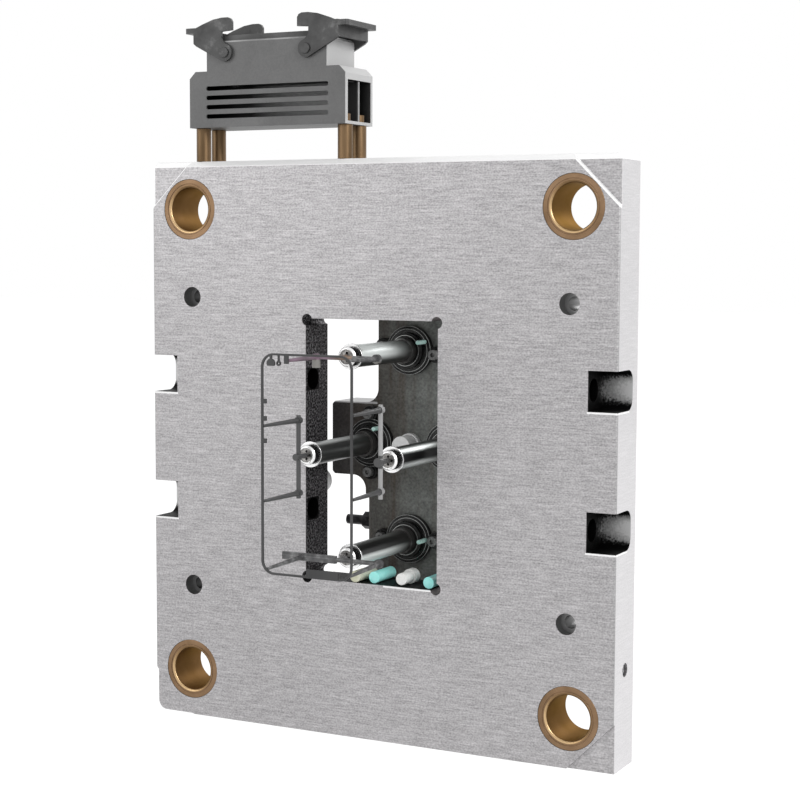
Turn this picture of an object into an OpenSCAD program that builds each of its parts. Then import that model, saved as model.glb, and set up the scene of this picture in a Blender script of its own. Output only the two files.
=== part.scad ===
// Hot runner mould: a nozzle plate on edge, its manifold and four nozzles,
// the electrical connector above it and the moulding on the nozzle tips.
// X runs along the plate, Y from the moulding towards the manifold, Z up.
// The origin is under the middle of the whole assembly, at the plate's foot.

/* [Nozzle plate] */
// Width of the plate
plate_w = 350; // [346:1:380]
// Height of the plate
plate_h = 392; // [388:1:430]
// Thickness of the plate
plate_t = 35; // [34:0.5:40]
// Chamfer along the top front edge
top_chamfer = 3.5; // [1:0.5:4]
// Chamfer along the other front edges
edge_chamfer = 1; // [0.4:0.2:2]
// Cut across the two upper corners
upper_cut = 3; // [1:0.5:5]
// Radius of the lower left corner
lower_r = 7; // [3:1:12]
// Leg of the triangular pry recess at each corner
pry_leg = 32; // [20:1:32]
// Depth of the pry recesses
pry_depth = 3; // [1.5:0.5:8]

/* [Window] */
// Width of the window that the nozzles reach through
window_w = 100; // [98:1:112]
// Height of the window
window_h = 178; // [176:1:196]
// Diameter of the relief at each window corner
relief_d = 8; // [5:0.5:10]
// Width of the pocket behind the window
back_pocket_w = 175; // [166:1:180]
// Height of the pocket behind the window
back_pocket_h = 236; // [230:1:250]
// Depth of the pocket behind the window
back_pocket_depth = 5; // [3:0.5:7]

/* [Guide bushes and holes] */
// Distance of the bushes from the plate's sides
bush_side = 31; // [30:0.5:35]
// Distance of the bushes from the plate's ends
bush_end = 33; // [32:0.5:36]
// Bore of the guide bushes
bush_bore = 30; // [24:0.5:32]
// Outside diameter of the bush body
bush_d = 38; // [36:0.5:40]
// Diameter of the bush flange
bush_flange_d = 42; // [41:0.5:43]
// Thickness of the bush flange
bush_flange_t = 6; // [3:0.5:9]
// Radius of the lead-in at the mouth of the bush
bush_lead = 1.5; // [0.5:0.1:1.9]
// Distance of the bolt holes from the plate's sides
bolt_side = 33; // [32:0.5:37]
// Bolt hole spacing along Z
bolt_dz = 204; // [190:1:230]
// Diameter of the bolt holes
bolt_hole_d = 9; // [7:0.5:11]
// Diameter of the counterbores
bolt_head_d = 14; // [12.5:0.5:18]
// Depth of the counterbores
bolt_head_t = 9; // [6:0.5:14]
// Diameter of the lifting hole in the top face
lifting_d = 14; // [10:0.5:18]
// Depth of the lifting hole
lifting_depth = 30; // [16:1:40]
// Diameter of the hole in each side face
side_hole_d = 9; // [6:0.5:12]
// Height of the side holes above the foot
side_hole_z = 64; // [50:1:80]
// Depth of the side holes
side_hole_depth = 20; // [10:1:30]

/* [Water pockets] */
// Length of each side pocket along X
pocket_l = 20; // [14:1:24]
// Width of the side pockets
pocket_w = 26; // [22:1:30]
// Depth of the side pockets from the front face
pocket_depth = 27; // [22:0.5:29]
// Corner radius at the pocket's inner end
pocket_r = 8; // [4:0.5:10]
// Height of the upper pockets above the plate's middle
pocket_up = 47.5; // [44:0.5:56]
// Depth of the lower pockets below the plate's middle
pocket_down = 42; // [38:0.5:56]
// Diameter of the water lines
water_d = 15; // [8:0.5:15]
// Distance of the water lines behind the front face
water_y = 10; // [9.5:0.5:13]

/* [Manifold] */
// Gap between the plate's back face and the manifold
manifold_gap = 25; // [22:0.5:32]
// Thickness of the manifold
manifold_t = 32; // [30:0.5:40]
// Width of the upper bar
upper_bar_w = 52; // [51:0.5:56]
// Width of the lower bar
lower_bar_w = 72; // [68:1:76]
// Reach of each side arm beyond its nozzle
arm_over = 32.5; // [31:0.5:37.5]
// Top of the arms above the plate's middle
arm_top = 28; // [27:0.5:32]
// Foot of the arms below the plate's middle
arm_foot = 24; // [23.5:0.5:28]
// Radius inside the corners of the cross
cross_r = 10; // [4:0.5:12]
// Long leg of the bevel down the lower bar
bevel_w = 10; // [4:0.5:14]
// Depth of that bevel
bevel_t = 5; // [2:0.5:8]
// Diameter of the melt channels
melt_d = 8; // [5:0.5:9]
// Diameter of the end plugs
plug_d = 14; // [12:0.5:15]
// Length of the end plugs
plug_l = 12; // [8:0.5:14]
// Diameter of the tubular heater
heater_d = 8.2; // [7:0.1:8.4]
// Bend radius of the tubular heater
heater_bend = 6; // [5:0.5:8]
// Length of the heater's cold ends outside the manifold
cold_end_l = 12; // [6:1:20]

/* [Nozzles] */
// Distance of the side nozzles from the window's sides
nozzle_side = 19.5; // [18:0.5:21]
// Distance of the upper and lower nozzles from the window's ends
nozzle_end = 23; // [21:0.5:25]
// Reach of the tips in front of the plate
tip_reach = 33; // [27:0.5:40]
// Diameter of the nozzle barrels
barrel_d = 15; // [14.5:0.5:17]
// Diameter of the nozzle core inside its heater
core_d = 10.4; // [9:0.2:11.4]
// Bore of the nozzle
nozzle_bore = 7; // [4:0.5:7]
// Diameter of the nozzle head
head_d = 25; // [22:0.5:26]
// Height of the nozzle head
head_h = 10; // [8:0.5:12]
// Diameter of the clamp ring round each head
clamp_d = 34; // [33:0.5:35]
// Thickness of the clamp rings
clamp_t = 6; // [4:0.5:7]
// Distance of the clamp screws from the nozzle's axis
clamp_screw_r = 20.5; // [19.5:0.5:22]
// Radius of the ears round the clamp screws
ear_r = 5.5; // [4.5:0.5:6]
// Diameter of the clamp screw heads
clamp_head_d = 7; // [6:0.5:8]
// Diameter of the tip nut's ring
nut_d = 17.2; // [16:0.2:19]
// Length of the tip nut's ring
nut_l = 1.2; // [0.8:0.1:3]
// Length of the groove between the ring and the nose
tip_groove_l = 2.6; // [1:0.1:4]
// Diameter of the nose
nose_d = 13.2; // [12.6:0.2:14.4]
// Length of the nose
nose_l = 3; // [2.6:0.1:6]

/* [Posts, pads and inlet] */
// Diameter of the support posts
post_d = 14; // [12:0.5:15]
// Post spacing along X
post_dx = 30; // [29:0.5:33]
// Thread diameter of the post bolts
post_bolt_d = 8; // [6:0.5:8.5]
// Diameter of the post bolt heads
post_head_d = 13; // [11:0.5:13.5]
// Diameter of the back-up pads
pad_d = 26; // [20:0.5:26]
// Thickness of the back-up pads
pad_t = 8; // [6:0.5:12]
// Length of the sprue bushing
inlet_l = 30; // [26:1:44]
// Diameter of the sprue bushing's body
inlet_d = 26; // [22:1:30]
// Width of the band heater on the sprue bushing
band_w = 18; // [10:1:17]
// Outside diameter of the band heater
band_d = 38; // [34:1:44]
// Diameter of the centring pin's flange
centre_flange_d = 16; // [14:0.5:17]
// Length of the centring pin
centre_l = 16; // [12:1:24]
// Diameter of the stop buttons on the plate's back
button_d = 17.5; // [10:0.5:18]
// Length of the stop buttons
button_l = 24; // [16:1:28]
// Diameter of the lead sleeves on the window's floor
sleeve_d = 8; // [6:0.5:10]
// Length of the lead sleeves
sleeve_l = 25; // [18:1:28]

/* [Connector box] */
// Distance of the connector's middle from the plate's middle
connector_x = -80.3; // [-90:0.1:-74]
// Height of the pillars
pillar_h = 23; // [16:0.5:40]
// Diameter of the pillars
pillar_d = 10.2; // [8:0.2:10.4]
// Distance of the pillars from the box's ends
pillar_inset = 5.5; // [5.4:0.1:8]
// Pillar spacing along Y
pillar_dy = 19; // [16:0.5:20]
// Thread diameter of the pillar screws
pillar_screw_d = 4; // [3:0.5:5]
// Diameter of the pillar screw heads
pillar_head_d = 7; // [6:0.5:7.4]
// Length of the box
box_w = 124; // [122:0.5:134]
// Depth of the box
box_d = 37; // [36:0.5:44]
// Height of the box up to its shoulder
box_h = 38.4; // [38:0.2:44]
// Cut across the box's shoulders
shoulder_cut = 4.8; // [2:0.2:6]
// Wall of the box
box_wall = 2.5; // [1.5:0.1:3]
// Wall of the box's closed end
end_wall = 1.5; // [1:0.1:2]
// Floor of the box
floor_t = 2; // [1.5:0.1:3]
// Inside height of the box
chamber_h = 27.2; // [27:0.2:29]
// Length of the cooling slots
slot_l = 97; // [80:0.5:100]
// Height of the cooling slots
slot_h = 3; // [2:0.1:3.6]
// Pitch of the cooling slots
slot_pitch = 6.35; // [5:0.05:6.4]
// Height of the lowest slot above the box's foot
slot_first = 7.6; // [5:0.1:7.8]
// Thickness of the terminal plate in the box
terminal_t = 1.5; // [1:0.1:3]

/* [Connector neck and levers] */
// Length of the neck
neck_w = 95.6; // [94:0.2:97]
// Height of the neck above the shoulder
neck_h = 20; // [19:0.5:24]
// Height of the lip on the neck
lip_h = 4; // [2:0.2:6]
// Step of the lip from the neck's faces
lip_step = 2.4; // [1:0.1:2.8]
// Wall round the mating well
well_wall = 4.6; // [4:0.1:6]
// Thickness of the contact insert
insert_h = 10; // [6:0.5:12]
// Contacts in each of the two rows
contacts = 8; // [4:1:8]
// Pitch of the contacts
contact_pitch = 8; // [6:0.2:8.4]
// Diameter of the contact pins
contact_d = 2.5; // [1.5:0.1:3]
// Height of the pins above the insert
contact_h = 5; // [3:0.5:8]
// Distance of the lever pivots from the connector's middle
pivot_x = 32.2; // [31.6:0.2:33]
// Height of the lever pivots above the shoulder
pivot_up = 12; // [11.8:0.1:13]
// Diameter of the pivot pins
pivot_d = 5; // [4:0.5:6]
// Thickness of the lever plates
lever_t = 2; // [1.5:0.1:3]
// Radius of the lever's eye
lever_eye_r = 6; // [5:0.1:6.2]
// Reach of the lever's web beyond its pivot
web_reach = 25; // [24:0.2:26]
// Reach of the thumb tab beyond the web
tab_reach = 7; // [4:0.5:10]
// Width of the lever's hook notch
notch_w = 4.6; // [3:0.2:5]

/* [Moulding] */
// Distance of the moulded frame in front of the plate
moulding_y = 86.7; // [70:0.1:110]
// Reach of the moulded frame's sides beyond the side nozzles
frame_side = 2.5; // [2:0.1:4]
// Reach of the moulded frame's ends beyond the upper and lower nozzles
frame_end = 4.5; // [3:0.1:7]
// Offset of the moulded frame along X
frame_x = 1.5; // [-2:0.1:2]
// Wall of the moulded frame
frame_wall = 1.4; // [1.2:0.1:3]
// Depth of the moulded frame
frame_depth = 1.6; // [1.4:0.1:4]
// Outer corner radius of the moulded frame
frame_r = 9; // [6:0.5:12]
// Distance of the runner bars in front of the nozzle tips
runner_y = 9.5; // [6:0.5:16]
// Diameter of the runner bars
runner_d = 3; // [2:0.1:4]
// Diameter of the stubs on the nozzle tips
stub_d = 3.2; // [2.4:0.1:6]
// Diameter of the discs at the ends of the runners
boss_d = 6; // [4.5:0.5:8]
// Diameter of the sprue drops at the runner
drop_d = 3.6; // [2.6:0.1:4.4]
// Diameter of the sprue drops at the frame
drop_tip_d = 2; // [1.2:0.1:3]
// Thickness of the port block
port_t = 5; // [3:0.5:7]
// Width of the port block
port_w = 23; // [16:1:30]

/* [Hidden] */
fine = 64;
small = 32;
// Room round pressed and screwed pieces
snug = 0.04;
// Room round pieces that swing past each other
slack = 0.3;
// Running clearance on the lever pivots
pivot_fit = 0.05;
// Length by which a cutter runs past a face
past = 1;

mid_z = plate_h / 2;
bush_dx = plate_w - 2 * bush_side;
bush_dz = plate_h - 2 * bush_end;
bolt_dx = plate_w - 2 * bolt_side;
nozzle_dx = window_w / 2 - nozzle_side;
nozzle_dz = window_h / 2 - nozzle_end;
arm_reach = nozzle_dx + arm_over;
pillar_dx = box_w - 2 * pillar_inset;
frame_w = 2 * (nozzle_dx + frame_side);
frame_h = 2 * (nozzle_dz + frame_end);
pocket_floor_y = plate_t - back_pocket_depth;
manifold_y = plate_t + manifold_gap;
manifold_back = manifold_y + manifold_t;
// The channels lie nearer the front, clear of the heater groove at the back
melt_y = manifold_y + 14;
inlet_back = manifold_back + inlet_l;

// Posts stand just outside the window, so they never show through it
post_dz = window_h + post_d + 8;
post_half = post_dz / 2;
bar_end = post_half + post_d / 2 + 3;
post_tap_depth = 18;
post_head_h = 8;
post_places = [for (x = [-1, 1], z = [-1, 1]) [x * post_dx / 2, z * post_half]];

nozzle_places = [[0, nozzle_dz], [-nozzle_dx, 0], [nozzle_dx, 0], [0, -nozzle_dz]];
// Turn of each clamp's ears and of each thermocouple pin
ear_turns = [-7, 90, 90, 0];
pin_turns = [25, 49, 49, 2];
nozzle_l = manifold_y + tip_reach;
nose_start = nozzle_l - nose_l;
// The core ends at the groove, where the torpedo sits on it
core_end = nose_start - tip_groove_l;
barrel_end = core_end - nut_l;
barrel_foot_h = 6;
barrel_foot_d = barrel_d + 3;
clamp_head_h = 4;
pin_d = 3;
pin_l = 12;
pin_r = (head_d + clamp_d) / 4;
torpedo_d = nose_d - 3.6;
// Step of the torpedo's face behind the tip
torpedo_back = 0.8;
melt_hole_d = 1.8;
melt_hole_r = 2.5;
// Thermocouple in the flank of the lower bar
probe_d = 7;
probe_z = -58.5;
probe_in = 18;

heater_wall = 1.9;
groove_w = heater_d + 0.2;
groove_depth = 8;
heater_y = manifold_back - groove_depth + heater_d / 2 + 0.05;
heater_edge = groove_w / 2 + heater_wall;
heater_high = nozzle_dz + pad_d / 2 + groove_w / 2 + 3.2;
heater_in = upper_bar_w / 2 - heater_edge + 0.5;
heater_low = lower_bar_w / 2 - heater_edge - 3;
heater_side = arm_reach - heater_edge - 4;
heater_top = arm_top - heater_edge - 0.9;
heater_foot = heater_edge - arm_foot;
heater_half = [
    [upper_bar_w / 2 + cold_end_l, heater_high], [heater_in, heater_high], [heater_in, heater_top],
    [heater_side, heater_top], [heater_side, heater_foot], [heater_low, heater_foot],
    [heater_low, -heater_high]
];
heater_route = concat(heater_half, [for (i = [len(heater_half) - 1 : -1 : 0])
    [-heater_half[i][0], heater_half[i][1]]]);

box_z = plate_h + pillar_h;
box_y = plate_t / 2 - box_d / 2;
shoulder_z = box_z + box_h;
neck_top = shoulder_z + neck_h;
lip_top = neck_top + lip_h;
pivot_z = shoulder_z + pivot_up;
pillar_y = [plate_t / 2 - pillar_dy / 2, plate_t / 2 + pillar_dy / 2];
pillar_places = [for (x = [-1, 1], y = pillar_y) [connector_x + x * pillar_dx / 2, y]];
pillar_head_h = 5;
pillar_tap_depth = 14;
slot_count = 4;
passage_ledge = 5;
well_w = neck_w - 2 * well_wall;
well_d = box_d - 2 * well_wall;
// Thickness of the floor that the contact insert stands on
insert_lift = 2;
insert_z = shoulder_z + insert_lift;
insert_screw_x = well_w / 2 - 2.5;
housing_screw_places = [for (x = [-1, 1], y = [-1, 1]) [x * (well_w / 2 - 14), y * (well_d - passage_ledge) / 2]];
contact_row = 7.5;
pivot_depth = 4;
pivot_cap = 0.8;

runner_plane = -tip_reach - runner_y;
side_runner_x = nozzle_dx;
stub_l = runner_y - slack;
// Ends and drops of the side runners, above and below the middle
left_half = 27.5;
left_drop = 24;
right_top = 37;
right_foot = 24;
right_drop_top = 33.5;
right_drop_foot = 19;
drop_end = moulding_y - frame_depth / 2;
strip_left = frame_x - frame_w / 2 + frame_wall / 2;
strip_right = frame_x + frame_w / 2 - frame_wall / 2;
end_runner_z = nozzle_dz;
// Ends of the upper and lower runners along X
upper_left = 17;
upper_right = 27.5;
lower_left = 42.5;
lower_right = 29.3;
// Where the lower left drop leaves its runner
lower_drop_x = -27.8;
// Reach of the discs in front of the runners
boss_reach = 4;
// Middle of the frame's corner arcs, and the drops' reach out along them
corner_x = frame_w / 2 - frame_r;
corner_z = frame_h / 2 - frame_r;
corner_out = (frame_r - frame_wall / 2) * sqrt(1 / 2);
top_tab_x = -13;

// The whole assembly's depth is centred on the origin
front_end = -moulding_y - frame_depth / 2;
frame_y = -(front_end + inlet_back) / 2;

// Moves a piece from the plate's own frame to the origin of the assembly
module placed() {
    translate([0, frame_y, 0]) children();
}

// The same, for pieces measured up and down from the plate's middle
module centred() {
    translate([0, frame_y, mid_z]) children();
}

// A drawing in X and Z, thickened from y0 to y1
module along_y(y0, y1) {
    translate([0, y1, 0]) rotate([90, 0, 0]) linear_extrude(y1 - y0) children();
}

// A drawing in Y and Z, thickened from x0 to x1
module along_x(x0, x1) {
    translate([x0, 0, 0]) rotate([90, 0, 90]) linear_extrude(x1 - x0) children();
}

// A round bar along Y
module rod_y(d, y0, y1) {
    translate([0, y0, 0]) rotate([-90, 0, 0]) cylinder(d = d, h = y1 - y0, $fn = fine);
}

// A round bar along X
module rod_x(d, x0, x1) {
    translate([x0, 0, 0]) rotate([0, 90, 0]) cylinder(d = d, h = x1 - x0, $fn = fine);
}

// Hexagon socket along Y, sunk from y0 to y1
module socket_y(across, y0, y1) {
    translate([0, y0, 0]) rotate([-90, 0, 0]) cylinder(d = across / cos(30), h = y1 - y0, $fn = 6);
}

// Rectangle with round corners, centred
module round_rect(w, h, r) {
    square([w, h - 2 * r], center = true);
    square([w - 2 * r, h], center = true);
    for (x = [-1, 1], y = [-1, 1]) translate([x * (w / 2 - r), y * (h / 2 - r)]) circle(r, $fn = fine);
}

// Waste outside a round corner whose sharp corner is the origin, material at -X and -Y
module corner_waste(r) {
    difference() {
        translate([-r, -r]) square(r + past);
        translate([-r, -r]) circle(r, $fn = fine);
    }
}

// Fillet that fills an inside corner at the origin, towards +X and +Y
module inside_fillet(r) {
    difference() {
        square(r);
        translate([r, r]) circle(r, $fn = fine);
    }
}

// Triangle at the origin with legs towards +X and +Y
module bevel(a, b) {
    polygon([[-past, -past], [a, -past], [a, 0], [0, b], [-past, b]]);
}

// Outline of the plate, centred
module plate_outline() {
    difference() {
        square([plate_w, plate_h], center = true);
        for (x = [-1, 1]) translate([x * plate_w / 2, plate_h / 2]) rotate(45) square(upper_cut * sqrt(2), center = true);
        translate([-plate_w / 2, -plate_h / 2]) rotate(180) corner_waste(lower_r);
    }
}

// Chamfers round the front face
module front_chamfers() {
    half_w = plate_w / 2 + past;
    for (side = [0, 1]) mirror([side, 0, 0])
        translate([plate_w / 2, 0, -mid_z - past]) rotate([0, 0, 90])
            linear_extrude(plate_h + 2 * past) bevel(edge_chamfer, edge_chamfer);
    translate([0, 0, mid_z]) mirror([0, 0, 1]) along_x(-half_w, half_w) bevel(top_chamfer, top_chamfer);
    translate([0, 0, -mid_z]) along_x(-half_w, half_w) bevel(edge_chamfer, edge_chamfer);
}

// Triangular pry recesses at the four corners of the front face
module pry_recesses() {
    for (x = [0, 1], z = [0, 1]) mirror([x, 0, 0]) mirror([0, 0, z]) along_y(-past, pry_depth)
        polygon([
            [plate_w / 2 - pry_leg, plate_h / 2], [plate_w / 2 - pry_leg, plate_h / 2 + past],
            [plate_w / 2 + past, plate_h / 2 + past], [plate_w / 2 + past, plate_h / 2 - pry_leg],
            [plate_w / 2, plate_h / 2 - pry_leg]
        ]);
}

// Window with its corner reliefs, and the shallow pocket behind it
module window_cut() {
    relief_in = relief_d / 8;
    along_y(-past, plate_t + past) {
        square([window_w, window_h], center = true);
        for (x = [-1, 1], z = [-1, 1])
            translate([x * (window_w / 2 - relief_in), z * (window_h / 2 - relief_in)]) circle(d = relief_d, $fn = fine);
    }
    along_y(pocket_floor_y, plate_t + past) round_rect(back_pocket_w, back_pocket_h, 10);
}

// Side pockets, their water lines to the window and the small side holes
module side_cuts() {
    for (side = [0, 1]) mirror([side, 0, 0]) {
        for (z = [pocket_up, -pocket_down]) translate([0, 0, z]) {
            along_x(plate_w / 2 - pocket_l, plate_w / 2 + past) difference() {
                translate([-past, -pocket_w / 2]) square([pocket_depth + past, pocket_w]);
                for (flip = [0, 1]) mirror([0, flip])
                    translate([pocket_depth, pocket_w / 2]) corner_waste(pocket_r);
            }
            translate([0, water_y, 0]) rod_x(water_d, window_w / 2 - past, plate_w / 2 - pocket_l + past);
        }
        translate([0, plate_t * 0.56, side_hole_z - mid_z])
            rod_x(side_hole_d, plate_w / 2 - side_hole_depth, plate_w / 2 + past);
    }
}

module nozzle_plate() {
    color("silver") centred() difference() {
        along_y(0, plate_t) plate_outline();
        front_chamfers();
        pry_recesses();
        window_cut();
        side_cuts();
        for (x = [-1, 1], z = [-1, 1]) {
            translate([x * bush_dx / 2, 0, z * bush_dz / 2]) {
                rod_y(bush_d + 2 * snug, -past, plate_t + past);
                rod_y(bush_flange_d + 2 * snug, -past, bush_flange_t);
            }
            translate([x * bolt_dx / 2, 0, z * bolt_dz / 2]) {
                rod_y(bolt_hole_d, -past, plate_t + past);
                rod_y(bolt_head_d, -past, bolt_head_t);
            }
        }
        for (p = post_places) translate([p[0], 0, p[1]])
            rod_y(post_bolt_d + 2 * snug, pocket_floor_y - post_tap_depth, plate_t + past);
        translate([0, plate_t / 2, mid_z - lifting_depth]) cylinder(d = lifting_d, h = lifting_depth + past, $fn = fine);
        for (p = pillar_places) translate([p[0], p[1], mid_z - pillar_tap_depth])
            cylinder(d = pillar_screw_d + 2 * snug, h = pillar_tap_depth + past, $fn = small);
    }
}

// Shouldered bush along Y: flange flush with the front face, rounded mouth, fine face groove
module guide_bush(x, z) {
    bore_r = bush_bore / 2;
    groove_r = bore_r + bush_lead + 0.7;
    mouth = [for (a = [0 : 15 : 90]) [bore_r + bush_lead - bush_lead * sin(a), bush_lead - bush_lead * cos(a)]];
    color("peru") centred() translate([x * bush_dx / 2, 0, z * bush_dz / 2]) rotate([-90, 0, 0]) difference() {
        rotate_extrude($fn = fine) polygon(concat(mouth, [
            [bore_r, plate_t - bush_lead], [bore_r + bush_lead, plate_t],
            [bush_d / 2, plate_t], [bush_d / 2, bush_flange_t],
            [bush_flange_d / 2, bush_flange_t], [bush_flange_d / 2, 0.4], [bush_flange_d / 2 - 0.4, 0]
        ]));
        rotate_extrude($fn = fine) translate([groove_r, -past]) square([0.6, past + 0.4]);
    }
}

// Outline of the manifold: a cross whose lower bar is wider, with filleted inside corners
module manifold_outline() {
    upper = upper_bar_w / 2;
    lower = lower_bar_w / 2;
    cut = 2 * sqrt(2);
    difference() {
        union() {
            translate([-upper, 0]) square([upper_bar_w, bar_end]);
            translate([-lower, -bar_end]) square([lower_bar_w, bar_end]);
            translate([-arm_reach, -arm_foot]) square([2 * arm_reach, arm_top + arm_foot]);
            for (side = [0, 1]) mirror([side, 0]) {
                translate([upper, arm_top]) inside_fillet(cross_r);
                translate([lower, -arm_foot]) mirror([0, 1]) inside_fillet(cross_r);
            }
        }
        for (side = [0, 1]) mirror([side, 0])
            for (corner = [[upper, bar_end], [arm_reach, arm_top], [arm_reach, -arm_foot], [lower, -bar_end]])
                translate(corner) rotate(45) square(cut, center = true);
    }
}

// Flat route of the heater: straight runs and quarter rings of the given width
module heater_plan(width) {
    last = len(heater_route) - 1;
    for (i = [0 : last - 1]) {
        a = heater_route[i];
        b = heater_route[i + 1];
        run = norm(b - a);
        along = (b - a) / run;
        trim_a = i == 0 ? 0 : heater_bend;
        trim_b = i == last - 1 ? 0 : heater_bend;
        translate(a + along * trim_a) rotate(atan2(along[1], along[0]))
            translate([0, -width / 2]) square([run - trim_a - trim_b, width]);
    }
    for (i = [1 : last - 1]) heater_corner(i) intersection() {
        difference() {
            circle(heater_bend + width / 2, $fn = fine);
            circle(heater_bend - width / 2, $fn = fine);
        }
        translate([0, 0]) square(heater_bend + width);
    }
}

// Frame of bend i: origin at the bend's centre, material in the first quadrant
module heater_corner(i) {
    p = heater_route[i];
    before = (heater_route[i - 1] - p) / norm(heater_route[i - 1] - p);
    after = (heater_route[i + 1] - p) / norm(heater_route[i + 1] - p);
    middle = p + heater_bend * (before + after);
    out = -(before + after);
    translate(middle) mirror([out[0] < 0 ? 1 : 0, 0]) mirror([0, out[1] < 0 ? 1 : 0]) children();
}

module manifold_block() {
    color("dimgray") centred() difference() {
        along_y(manifold_y, manifold_back) manifold_outline();
        for (side = [0, 1]) mirror([side, 0, 0])
            translate([lower_bar_w / 2, manifold_y, -bar_end - past])
                linear_extrude(bar_end - arm_foot - cross_r - 2) rotate(90) bevel(bevel_t, bevel_w);
        translate([0, melt_y, 0]) {
            rod_x(melt_d, -arm_reach - past, arm_reach + past);
            rod_x(plug_d + 2 * snug, arm_reach - plug_l, arm_reach + past);
            rod_x(plug_d + 2 * snug, -arm_reach - past, plug_l - arm_reach);
            translate([0, 0, -bar_end - past]) cylinder(d = melt_d, h = 2 * (bar_end + past), $fn = fine);
            for (z = [-bar_end - past, bar_end - plug_l]) translate([0, 0, z])
                cylinder(d = plug_d + 2 * snug, h = plug_l + past, $fn = fine);
        }
        rod_y(melt_d, melt_y, manifold_back + past);
        for (p = nozzle_places) translate([p[0], 0, p[1]]) {
            rod_y(nozzle_bore, manifold_y - past, melt_y);
            rod_y(5 + 2 * snug, manifold_back - 8, manifold_back + past);
        }
        for (p = post_places) translate([p[0], 0, p[1]]) rod_y(post_bolt_d + 1, manifold_y - past, manifold_back + past);
        along_y(manifold_back - groove_depth, manifold_back + past) heater_plan(groove_w);
        translate([-lower_bar_w / 2, melt_y, probe_z]) rod_x(probe_d + 2 * snug, -past, probe_in + 2);
        for (i = [0 : 3]) translate([nozzle_places[i][0], 0, nozzle_places[i][1]]) rotate([0, -ear_turns[i], 0])
            for (x = [-clamp_screw_r, clamp_screw_r]) translate([x, 0, 0])
                rod_y(4 + 2 * snug, manifold_y - past, manifold_y + 8);
    }
}

// Plugs that close the ends of the melt drillings, each with a hexagon socket
module manifold_plugs() {
    color("darkgray") centred() translate([0, melt_y, 0]) for (turn = [0 : 90 : 270]) {
        reach = turn % 180 == 0 ? arm_reach : bar_end;
        rotate([0, turn, 0]) difference() {
            rod_x(plug_d, reach - plug_l, reach);
            translate([reach - 5, 0, 0]) rotate([0, 90, 0]) cylinder(d = 8 / cos(30), h = 5 + past, $fn = 6);
        }
    }
}

module manifold_heater() {
    last = len(heater_route) - 1;
    color("rosybrown") centred() translate([0, heater_y, 0]) rotate([90, 0, 0]) {
        for (i = [0 : last - 1]) {
            a = heater_route[i];
            b = heater_route[i + 1];
            run = norm(b - a);
            along = (b - a) / run;
            trim_a = i == 0 ? 0 : heater_bend;
            trim_b = i == last - 1 ? 0 : heater_bend;
            translate(a + along * trim_a) rotate([0, 90, atan2(along[1], along[0])])
                cylinder(d = heater_d, h = run - trim_a - trim_b, $fn = small);
        }
        for (i = [1 : last - 1]) heater_corner(i)
            rotate_extrude(angle = 90, $fn = fine) translate([heater_bend, 0]) circle(d = heater_d, $fn = small);
    }
}

// Screwed probe in the left flank of the lower bar, with its hexagon outside
module manifold_thermocouple() {
    hex_l = 8;
    color("gray") centred() translate([-lower_bar_w / 2, melt_y, probe_z]) {
        rod_x(probe_d, -2, probe_in);
        translate([-hex_l, 0, 0]) rotate([0, 90, 0]) cylinder(d = 11 / cos(30), h = hex_l, $fn = 6);
        rod_x(probe_d, -hex_l - 14, -hex_l);
    }
}

module support_posts() {
    color("lightgray") centred() for (p = post_places) translate([p[0], 0, p[1]]) difference() {
        rod_y(post_d, pocket_floor_y, manifold_y);
        rod_y(post_bolt_d + 1, pocket_floor_y - past, manifold_y + past);
    }
}

// Socket-head bolts through the manifold and the posts into the plate
module post_bolts() {
    color("darkslategray") centred() for (p = post_places) translate([p[0], 0, p[1]]) difference() {
        union() {
            rod_y(post_bolt_d, pocket_floor_y - post_tap_depth + 1, manifold_back);
            rod_y(post_head_d, manifold_back, manifold_back + post_head_h);
        }
        socket_y(6, manifold_back + post_head_h - 4, manifold_back + post_head_h + past);
    }
}

module backup_pads() {
    color("lightsteelblue") centred() for (p = nozzle_places) translate([p[0], 0, p[1]]) difference() {
        rod_y(pad_d, manifold_back, manifold_back + pad_t);
        rod_y(5.5, manifold_back - past, manifold_back + pad_t + past);
        rod_y(10, manifold_back + 3, manifold_back + pad_t + past);
    }
}

// Screws sunk in the back-up pads
module pad_screws() {
    head_y = manifold_back + 3;
    color("dimgray") centred() for (p = nozzle_places) translate([p[0], 0, p[1]]) difference() {
        union() {
            rod_y(5, manifold_back - 7, head_y);
            rod_y(8.5, head_y, head_y + pad_t - 3.5);
        }
        socket_y(4, head_y + 1, head_y + pad_t);
    }
}

// Screwed sprue bushing with a dished seat for the machine's nozzle
module sprue_bushing() {
    seat_r = 15;
    seat_depth = 3;
    color("gainsboro") centred() difference() {
        union() {
            rod_y(32, manifold_back, manifold_back + 8);
            rod_y(inlet_d, manifold_back + 8, inlet_back);
        }
        rod_y(melt_d, manifold_back - past, inlet_back + past);
        translate([0, inlet_back + seat_r - seat_depth, 0]) sphere(seat_r, $fn = fine);
        for (side = [0, 1]) mirror([side, 0, 0])
            translate([14, manifold_back + 2, -20]) cube([10, 6 + past, 40]);
    }
}

// Band heater round the sprue bushing, split and drawn up by a clamp screw
module sprue_band_heater() {
    y0 = manifold_back + 9;
    color("burlywood") centred() difference() {
        union() {
            rod_y(band_d, y0, y0 + band_w);
            translate([-5, y0 + 2, band_d / 2 - 3]) cube([10, band_w - 4, 11]);
        }
        rod_y(inlet_d + 2 * snug, y0 - past, y0 + band_w + past);
        translate([-1.5, y0 - past, 0]) cube([3, band_w + 2 * past, band_d]);
        translate([0, y0 + band_w / 2, band_d / 2 + 4]) rod_x(4, -band_d, band_d);
    }
}

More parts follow.
